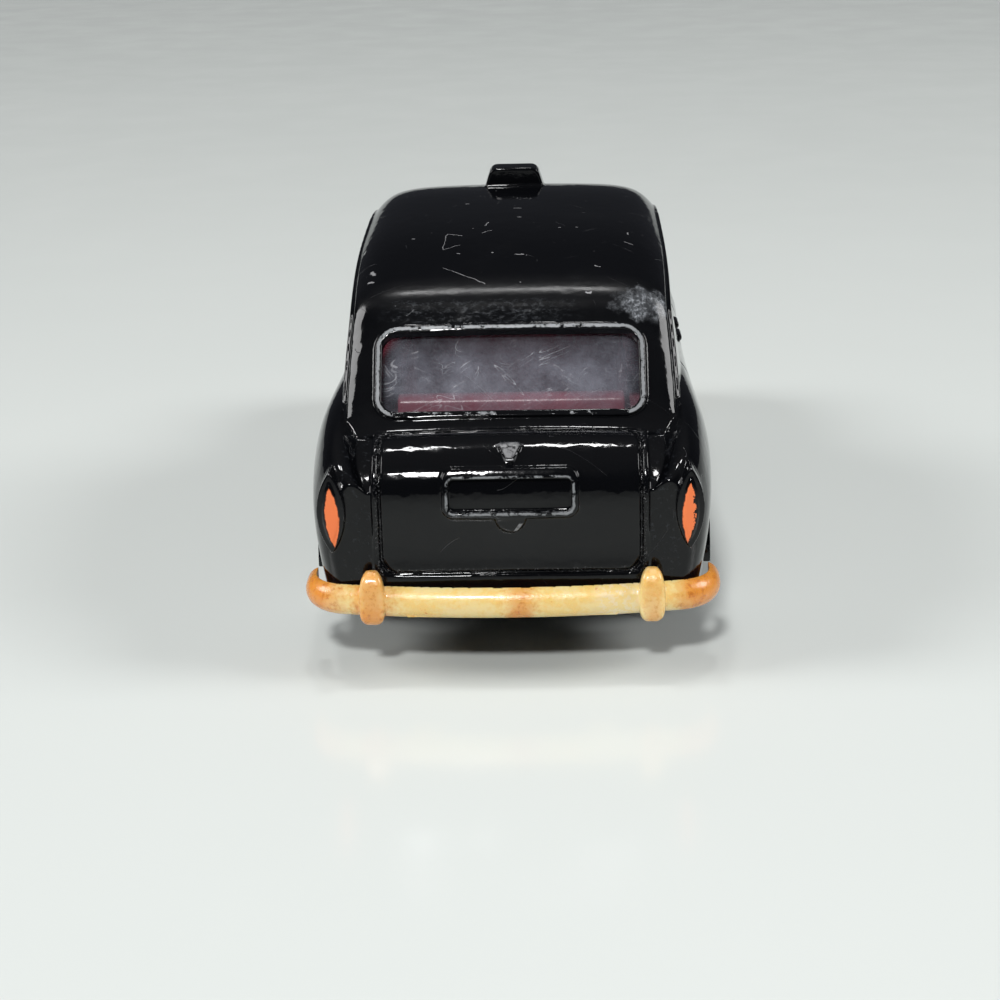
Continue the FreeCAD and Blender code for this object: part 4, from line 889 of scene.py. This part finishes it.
@dataclass(frozen=True)
class AgedPlastic(Look):
    """Yellowed clear-coated plastic whose plating has gone, with amber lacquer left in patches."""

    name: str = "aged_plastic"
    pale: Colour = (0.90, 0.60, 0.18)
    cream: Colour = (0.90, 0.70, 0.32)
    amber: Colour = (0.76, 0.28, 0.035)
    brown: Colour = (0.50, 0.14, 0.015)
    rub_and_sheen_white: Colour = (0.85, 0.84, 0.78)
    slow: Grain = Grain(0.35, 4.0, 0.6)
    fine: Grain = Grain(1.7, 5.0, 0.65)
    spots: Tuple[Spot, ...] = (Spot(-14.1, 3.2, 1.0), Spot(0.9, 2.3, 0.95), Spot(14.2, 1.6, 0.5),
                               Spot(17.6, 1.6, 0.8))
    yellowing: Pair = (0.40, 0.62)
    small_patches: Pair = (0.58, 0.70)
    tips: Pair = (18.6, 22.2)
    tips_raggedness: float = 6.0
    low: Limit = (Axis.UP, 8.6, 6.4)
    deep: Pair = (0.50, 0.68)
    rub_and_sheen_middle: float = 10.6
    rub_and_sheen_half: Pair = (3.2, 0.8)
    rub_and_sheen_grain: Pair = (0.46, 0.56)
    rough: Pair = (0.16, 0.36)
    depth: float = 0.16

    def spot(self, net: Net, x: Socket, both: Socket, spot: Spot) -> Socket:
        """The spot's strength near its place across the bumper, falling softly, with noise on the reach."""
        limit = net.times(net.minus(both, 0.15), spot.reach * 2.9)
        return net.times(net.near(x, spot.middle, (limit, net.times(limit, 0.1))), spot.strength)

    def surface(self, net: Net, place: Socket) -> Inputs:
        """Amber at the tips, on one overrider and in small patches, and a whitish spot that is rubbed wear
        and a painted highlight.
        """
        x, _, _ = net.split(place)
        fine = net.noise(place, self.fine)
        both = net.plus(net.times(net.noise(place, self.slow), 0.6), net.times(fine, 0.4))
        tips = net.step(net.plus(net.size(x), net.times(both, self.tips_raggedness)), *self.tips)
        spots = [self.spot(net, x, both, spot) for spot in self.spots]
        patch = net.most(net.step(both, *self.small_patches), *spots)
        lower = net.plus(net.times(net.zone(place, self.low), 0.5), 0.75)
        patch = net.least(net.times(patch, lower), 1.0)
        amber = net.most(net.times(tips, 0.95), net.times(patch, 0.85))
        tone = net.mix(net.step(both, *self.yellowing), self.cream, self.pale)
        tone = net.mix(amber, tone, self.amber)
        tone = net.mix(net.times(net.step(fine, *self.deep), amber, 0.8), tone, self.brown)
        # A whitish spot right of the middle: rubbed plastic and a painted highlight on the bar.
        rub_and_sheen = net.times(net.near(x, self.rub_and_sheen_middle, self.rub_and_sheen_half),
                             net.step(fine, *self.rub_and_sheen_grain), 0.35)
        return dict(Base_Color=net.mix(rub_and_sheen, tone, self.rub_and_sheen_white), Roughness=net.span(both, *self.rough),
                    Subsurface_Weight=0.3, Subsurface_Radius=(1.0, 0.6, 0.25), Subsurface_Scale=1.0 * MM,
                    Coat_Weight=0.4, Coat_Roughness=0.1, Normal=net.bump(both, self.depth))


@dataclass(frozen=True)
class HazedWindow(Look):
    """Clear window moulding gone hazy: a thin grey film of uneven depth, fine scratches and a clear rim."""

    name: str = "hazed_window"
    film: Colour = (0.29, 0.30, 0.36)
    scratch: Colour = (0.55, 0.55, 0.60)
    haze: Grain = Grain(0.30, 5.0, 0.65)
    fine: Grain = Grain(3.0, 4.0, 0.7)
    haze_edges: Pair = (0.3, 0.72)
    depth: Pair = (0.10, 0.38)
    middle: float = 28.6
    slope: float = 1.27
    half: Pair = (12.9, 4.1)
    corner: float = 1.5
    rim: Pair = (0.5, -1.1)
    behind: Limit = (Axis.ALONG, -36.0, -37.5)
    rough: Pair = (0.08, 0.30)
    scratch_depth: float = 0.02

    def surface(self, net: Net, place: Socket) -> Inputs:
        """The film's depth goes to Alpha, so light still reaches the seats."""
        x, _, z = net.split(place)
        haze = net.noise(place, self.haze)
        broad = net.group("hairlines", Place=place, Scale=0.30, Width=0.0055, Share=0.49)
        thin = net.group("hairlines", Place=place, Scale=0.8, Width=0.006, Share=0.48)
        lines = net.most(broad, net.times(thin, 0.6))
        rise = net.times(net.minus(z, self.middle), self.slope)
        rim = net.panel(x, rise, self.half, self.corner)
        inner = net.span(net.step(rim, *self.rim), 0.35, 1.0)
        grain = net.plus(net.times(haze, 0.7), net.times(net.noise(place, self.fine), 0.3))
        depth = net.span(net.step(grain, *self.haze_edges), *self.depth)
        depth = net.times(depth, inner, net.span(net.zone(place, self.behind), 0.6, 1.0))
        return dict(Base_Color=net.mix(lines, self.film, self.scratch),
                    Alpha=net.plus(depth, net.times(lines, 0.22)),
                    Roughness=net.plus(net.span(haze, *self.rough), net.times(lines, 0.3)),
                    IOR=PLASTIC_IOR, Normal=net.bump(net.times(lines, -1.0), self.scratch_depth))


@dataclass(frozen=True)
class HazedClear(Look):
    """Clear moulding gone hazy, with fine scratches."""

    name: str
    tint: Colour
    clear: float
    scratch: Colour = (0.9, 0.9, 0.92)
    haze: Grain = Grain(0.22, 4.0, 0.6)
    rough: Pair = (0.05, 0.22)
    scratch_depth: float = 0.02

    def surface(self, net: Net, place: Socket) -> Inputs:
        """Scratches lighten the clear plastic and take its gloss."""
        lines = net.group("hairlines", Place=place, Scale=0.35, Width=0.008, Share=0.5)
        rough = net.plus(net.span(net.noise(place, self.haze), *self.rough), net.times(lines, 0.4))
        return dict(Base_Color=net.mix(net.times(lines, 0.8), self.tint, self.scratch), Roughness=rough,
                    Transmission_Weight=self.clear, IOR=PLASTIC_IOR,
                    Normal=net.bump(net.times(lines, -1.0), self.scratch_depth))


@dataclass(frozen=True)
class Moulded(Look):
    """Plain coloured plastic, rubber, paint or metal with a fine grain and uneven gloss."""

    name: str
    colour: Colour
    other: Colour
    rough: Pair
    depth: float = 0.02
    metal: float = 0.0
    slow: Grain = Grain(0.25, 4.0, 0.6)
    fine: Grain = Grain(3.0, 4.0, 0.6)

    def surface(self, net: Net, place: Socket) -> Inputs:
        """Two tones by slow noise, roughness by finer noise, and a fine bump."""
        fine = net.noise(place, self.fine)
        return dict(Base_Color=net.mix(net.noise(place, self.slow), self.colour, self.other),
                    Roughness=net.span(fine, *self.rough), Metallic=self.metal,
                    Normal=net.bump(fine, self.depth))


@dataclass(frozen=True)
class PaleFloor(Look):
    """A glossy pale grey that changes slowly."""

    name: str = "pale_floor"
    tones: Tuple[Colour, Colour] = ((0.70, 0.735, 0.71), (0.73, 0.76, 0.735))
    slow: Grain = Grain(0.01)
    gloss: Grain = Grain(0.05)
    rough: Pair = (0.10, 0.18)
    specular: float = 0.3

    def surface(self, net: Net, place: Socket) -> Inputs:
        """Both tones by very slow noise, and uneven gloss."""
        return dict(Base_Color=net.mix(net.noise(place, self.slow), *self.tones),
                    Roughness=net.span(net.noise(place, self.gloss), *self.rough),
                    Specular_IOR_Level=self.specular)


MAROON = Moulded("maroon_plastic", (0.24, 0.045, 0.07), (0.30, 0.06, 0.085), (0.20, 0.34))
RUBBER = Moulded("tyre_rubber", (0.012, 0.012, 0.012), (0.035, 0.034, 0.032), (0.6, 0.85), 0.04)
PLATED = Moulded("plated_plastic", (0.74, 0.74, 0.72), (0.55, 0.55, 0.53), (0.12, 0.3), 0.01, 1.0)
STEEL = Moulded("bright_steel", (0.55, 0.55, 0.56), (0.42, 0.41, 0.40), (0.22, 0.4), 0.01, 1.0)
BASE_BLACK = Moulded("base_paint", (0.008, 0.008, 0.009), (0.02, 0.02, 0.021), (0.2, 0.35), 0.03)
BLACK_PLASTIC = Moulded("black_plastic", (0.012, 0.012, 0.012), (0.02, 0.02, 0.02), (0.3, 0.5))
LENS = HazedClear("lens_clear", (0.9, 0.92, 0.93), 0.95)


# The pieces

def dress_node(node: str, material: Material) -> None:
    """Gives a CAD node its material."""
    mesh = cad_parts[node].data
    mesh.materials.clear()
    mesh.materials.append(material)


@dataclass(frozen=True)
class Casting:
    """The black body casting, its clear windows and the headlamps' lenses."""

    cell: float = 0.13
    rounds: int = 5
    triangles: int = 195000

    def build(self) -> None:
        """Builds the casting's soft skin, and dresses the windows and the lenses."""
        skin = SoftenedCopy("body_casting", "body_shell", "body_paint", self.cell, self.rounds,
                            self.triangles)
        skin.build(CastPaint().build())
        dress_node("window_glazing", HazedWindow().build())
        lens = LENS.build()
        for side in Side:
            dress_node(f"headlamp_lens_{side.name.lower()}", lens)


@dataclass(frozen=True)
class Trim:
    """Both bumpers and the grille."""

    cell: float = 0.09
    rounds: int = 6
    triangles: int = 60000

    def build(self) -> None:
        """Builds the bumpers' soft skins and dresses the grille."""
        aged = AgedPlastic().build()
        for end in End:
            skin = SoftenedCopy(f"{end.value}_bumper_moulding", f"{end.value}_bumper", "plating_yellowed",
                                self.cell, self.rounds, self.triangles)
            skin.build(aged)
        dress_node("radiator_grille", PLATED.build())


@dataclass(frozen=True)
class Inside:
    """The maroon tub with its seats, and the steering wheel."""

    cell: float = 0.2
    rounds: int = 3
    triangles: int = 90000

    def build(self) -> None:
        """Builds the tub's soft skin and dresses the steering wheel."""
        skin = SoftenedCopy("seat_moulding", "interior_tub", "interior_maroon", self.cell, self.rounds,
                            self.triangles)
        skin.build(MAROON.build())
        dress_node("steering_wheel", BLACK_PLASTIC.build())


@dataclass(frozen=True)
class Underside:
    """The base plate, its screws and the axles."""

    steel_nodes: Tuple[str, ...] = ("base_screw_front", "base_screw_rear", "front_axle", "rear_axle")

    def build(self) -> None:
        """Dresses the CAD nodes."""
        dress_node("base_plate", BASE_BLACK.build())
        steel = STEEL.build()
        for node in self.steel_nodes:
            dress_node(node, steel)


@dataclass(frozen=True)
class Wheel:
    """One wheel: a ribbed tyre on a dished plated hub."""

    name: str
    side: Side
    rubber: Material
    plating: Material
    radius: float = 7.5
    bore: float = 5.0
    width: float = 4.2
    shoulder: float = 0.9
    groove_middle: float = 0.7
    groove_depth: float = 0.3
    ribs: int = 72
    rib_depth: float = 0.012
    hub_bore: float = 0.86
    hub_steps: int = 128

    def tyre_outline(self) -> np.ndarray:
        """The tyre's section: two grooves round the tread, and a thin ring groove on the outer wall."""
        half, tread = self.width / 2, self.radius - 0.02
        flank = self.radius - self.shoulder
        near, far = self.groove_middle - 0.2, self.groove_middle + 0.2
        sunk = tread - self.groove_depth
        corners = [(-half, self.bore), (-half, flank), (-half + self.shoulder, tread), (-far, tread),
                   (-self.groove_middle, sunk), (-near, tread), (near, tread), (self.groove_middle, sunk),
                   (far, tread), (half - self.shoulder, tread), (half, flank), (half, self.bore + 1.2),
                   (half - 0.12, self.bore + 1.0), (half, self.bore + 0.8), (half, self.bore)]
        radii = [0.1, 0.3, 0.3, *[0.05] * 6, 0.3, 0.3, *[0.05] * 3, 0.1]
        return rounded_run(corners, radii)

    def hub_outline(self) -> np.ndarray:
        """The hub's section: a rim, a dish and a raised boss round the axle."""
        half = self.width / 2
        rim, dish, boss = half - 0.25, half - 0.9, half - 0.3
        corners = [(-half + 0.5, self.hub_bore), (-half + 0.5, self.bore), (rim, self.bore), (rim, 4.5),
                   (dish, 3.9), (dish, 2.4), (boss, 1.8), (boss, self.hub_bore)]
        return rounded_run(corners, [0.05, 0.1, 0.1, 0.2, 0.25, 0.25, 0.2, 0.05])

    def build(self) -> None:
        """Turns the tyre and the hub, and lets them ride on the wheel's body."""
        low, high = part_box(f"{self.name}_tyre")
        centre = np.asarray((low + high) / 2) / MM
        outline = self.tyre_outline()
        turn = np.linspace(0, 2 * np.pi, self.ribs * 4, endpoint=False)
        rib = 1 - self.rib_depth * (np.cos(turn * self.ribs) > 0.2)
        on_tread = (outline[:, 1] > self.radius - 0.17) & (np.abs(outline[:, 0]) > 0.8)
        wave = np.where(on_tread[:, None], rib, 1.0)
        tyre = turned(f"{self.name}_tyre_ribbed", outline, centre, self.side, wave)
        tyre.data.materials.append(self.rubber)
        outline = self.hub_outline()
        even = np.ones((len(outline), self.hub_steps))
        hub = turned(f"{self.name}_hub_plated", outline, centre, self.side, even)
        hub.data.materials.append(self.plating)
        for piece, part, slot in ((tyre, "tyre", "tyre_rubber"), (hub, "hub", "hub_plating")):
            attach(piece, f"{self.name}_wheel")
            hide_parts(f"{self.name}_{part}")


@dataclass(frozen=True)
class Lamp:
    """A far soft lamp.

    round_z says which way it lies, in degrees from +Y towards +X, height how high it stands over the
    horizon and spread how wide it looks, in degrees; strength is its light on a surface that faces it.
    """

    name: str
    round_z: float
    height: float
    spread: float
    strength: float

    def build(self) -> None:
        """Makes the lamp, turned towards the origin."""
        data = bpy.data.lights.new(self.name, "SUN")
        data.energy = self.strength
        data.angle = math.radians(self.spread)
        lamp = new_object(self.name, data)
        turn, rise = math.radians(self.round_z), math.radians(self.height)
        towards = Vector((math.sin(turn) * math.cos(rise), math.cos(turn) * math.cos(rise), math.sin(rise)))
        lamp.rotation_euler = (-towards).to_track_quat("-Z", "Y").to_euler()


@dataclass(frozen=True)
class Studio:
    """A pale floor in a dark room, lamps above, on both sides and behind the camera, and the camera."""

    eye: Point = (5.0, -260.3, 86.8)
    pitch: float = 18.14
    yaw: float = 1.65
    roll: float = -1.35
    focal: float = 79.2
    sensor: float = 36.0
    clip: Pair = (0.01, 20.0)
    floor_half: float = 6.0
    room_tones: Tuple[Colour, Colour] = ((0.034, 0.036, 0.042), (0.14, 0.14, 0.145))
    overhead: Pair = (0.6, 0.98)
    lamps: Tuple[Lamp, ...] = (
        Lamp("ceiling_left", -34.0, 76.5, 5.0, 0.32),
        Lamp("ceiling_right", 10.0, 77.0, 5.0, 0.32),
        Lamp("room_lamp", -171.0, 44.0, 7.0, 2.0),
        Lamp("left_light", -92.0, 36.0, 26.0, 1.4),
        Lamp("right_light", 92.0, 36.0, 26.0, 1.4),
    )

    def build(self) -> None:
        """Builds the floor, the light and the camera."""
        self.floor()
        self.dome()
        for lamp in self.lamps:
            lamp.build()
        self.camera()

    def floor(self) -> None:
        """A large flat floor."""
        half = self.floor_half
        corners = [(-half, -half, 0), (half, -half, 0), (half, half, 0), (-half, half, 0)]
        mesh = bpy.data.meshes.new("floor")
        mesh.from_pydata(corners, [], [(0, 1, 2, 3)])
        mesh.materials.append(PaleFloor().build())
        piece = new_object("floor", mesh)

    def dome(self) -> None:
        """A dim world, a little brighter overhead, by the height of the view direction."""
        world = bpy.data.worlds.new("soft_dome")
        world.use_nodes = True
        world.node_tree.nodes.clear()
        net = Net(world.node_tree)
        _, _, up = net.split(net.node("ShaderNodeTexCoord").outputs["Generated"])
        light = net.node("ShaderNodeBackground")
        net.feed_all(light, Color=net.mix(net.step(up, *self.overhead), *self.room_tones), Strength=1.0)
        net.feed(net.node("ShaderNodeOutputWorld").inputs["Surface"], light.outputs[0])
        bpy.context.scene.world = world

    def camera(self) -> None:
        """The camera at the photograph's place, behind the toy and a little above."""
        data = bpy.data.cameras.new("camera")
        data.lens = self.focal
        data.sensor_width = self.sensor
        data.clip_start, data.clip_end = self.clip
        camera = new_object("camera", data)
        camera.location = Vector(self.eye) * MM
        turn = Matrix.Identity(3)
        for angle, axis in ((self.yaw, "Z"), (90 - self.pitch, "X"), (self.roll, "Z")):
            turn = turn @ Matrix.Rotation(math.radians(angle), 3, axis)
        camera.rotation_euler = turn.to_euler()
        bpy.context.scene.camera = camera


def main() -> None:
    """Builds the toy piece by piece, then its studio."""
    logging.basicConfig(level=logging.INFO, format="%(name)s: %(message)s")
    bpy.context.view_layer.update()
    for effect in EFFECTS:
        effect.build()
    for part in (Casting(), Trim(), Inside(), Underside()):
        part.build()
        log.info("built %s", type(part).__name__)
    rubber, plating = RUBBER.build(), PLATED.build()
    for end in End:
        for side in Side:
            Wheel(f"{end.value}_{side.name.lower()}", side, rubber, plating).build()
    Studio().build()
    bpy.context.scene.view_settings.view_transform = "Standard"


if __name__ == "__main__":
    main()
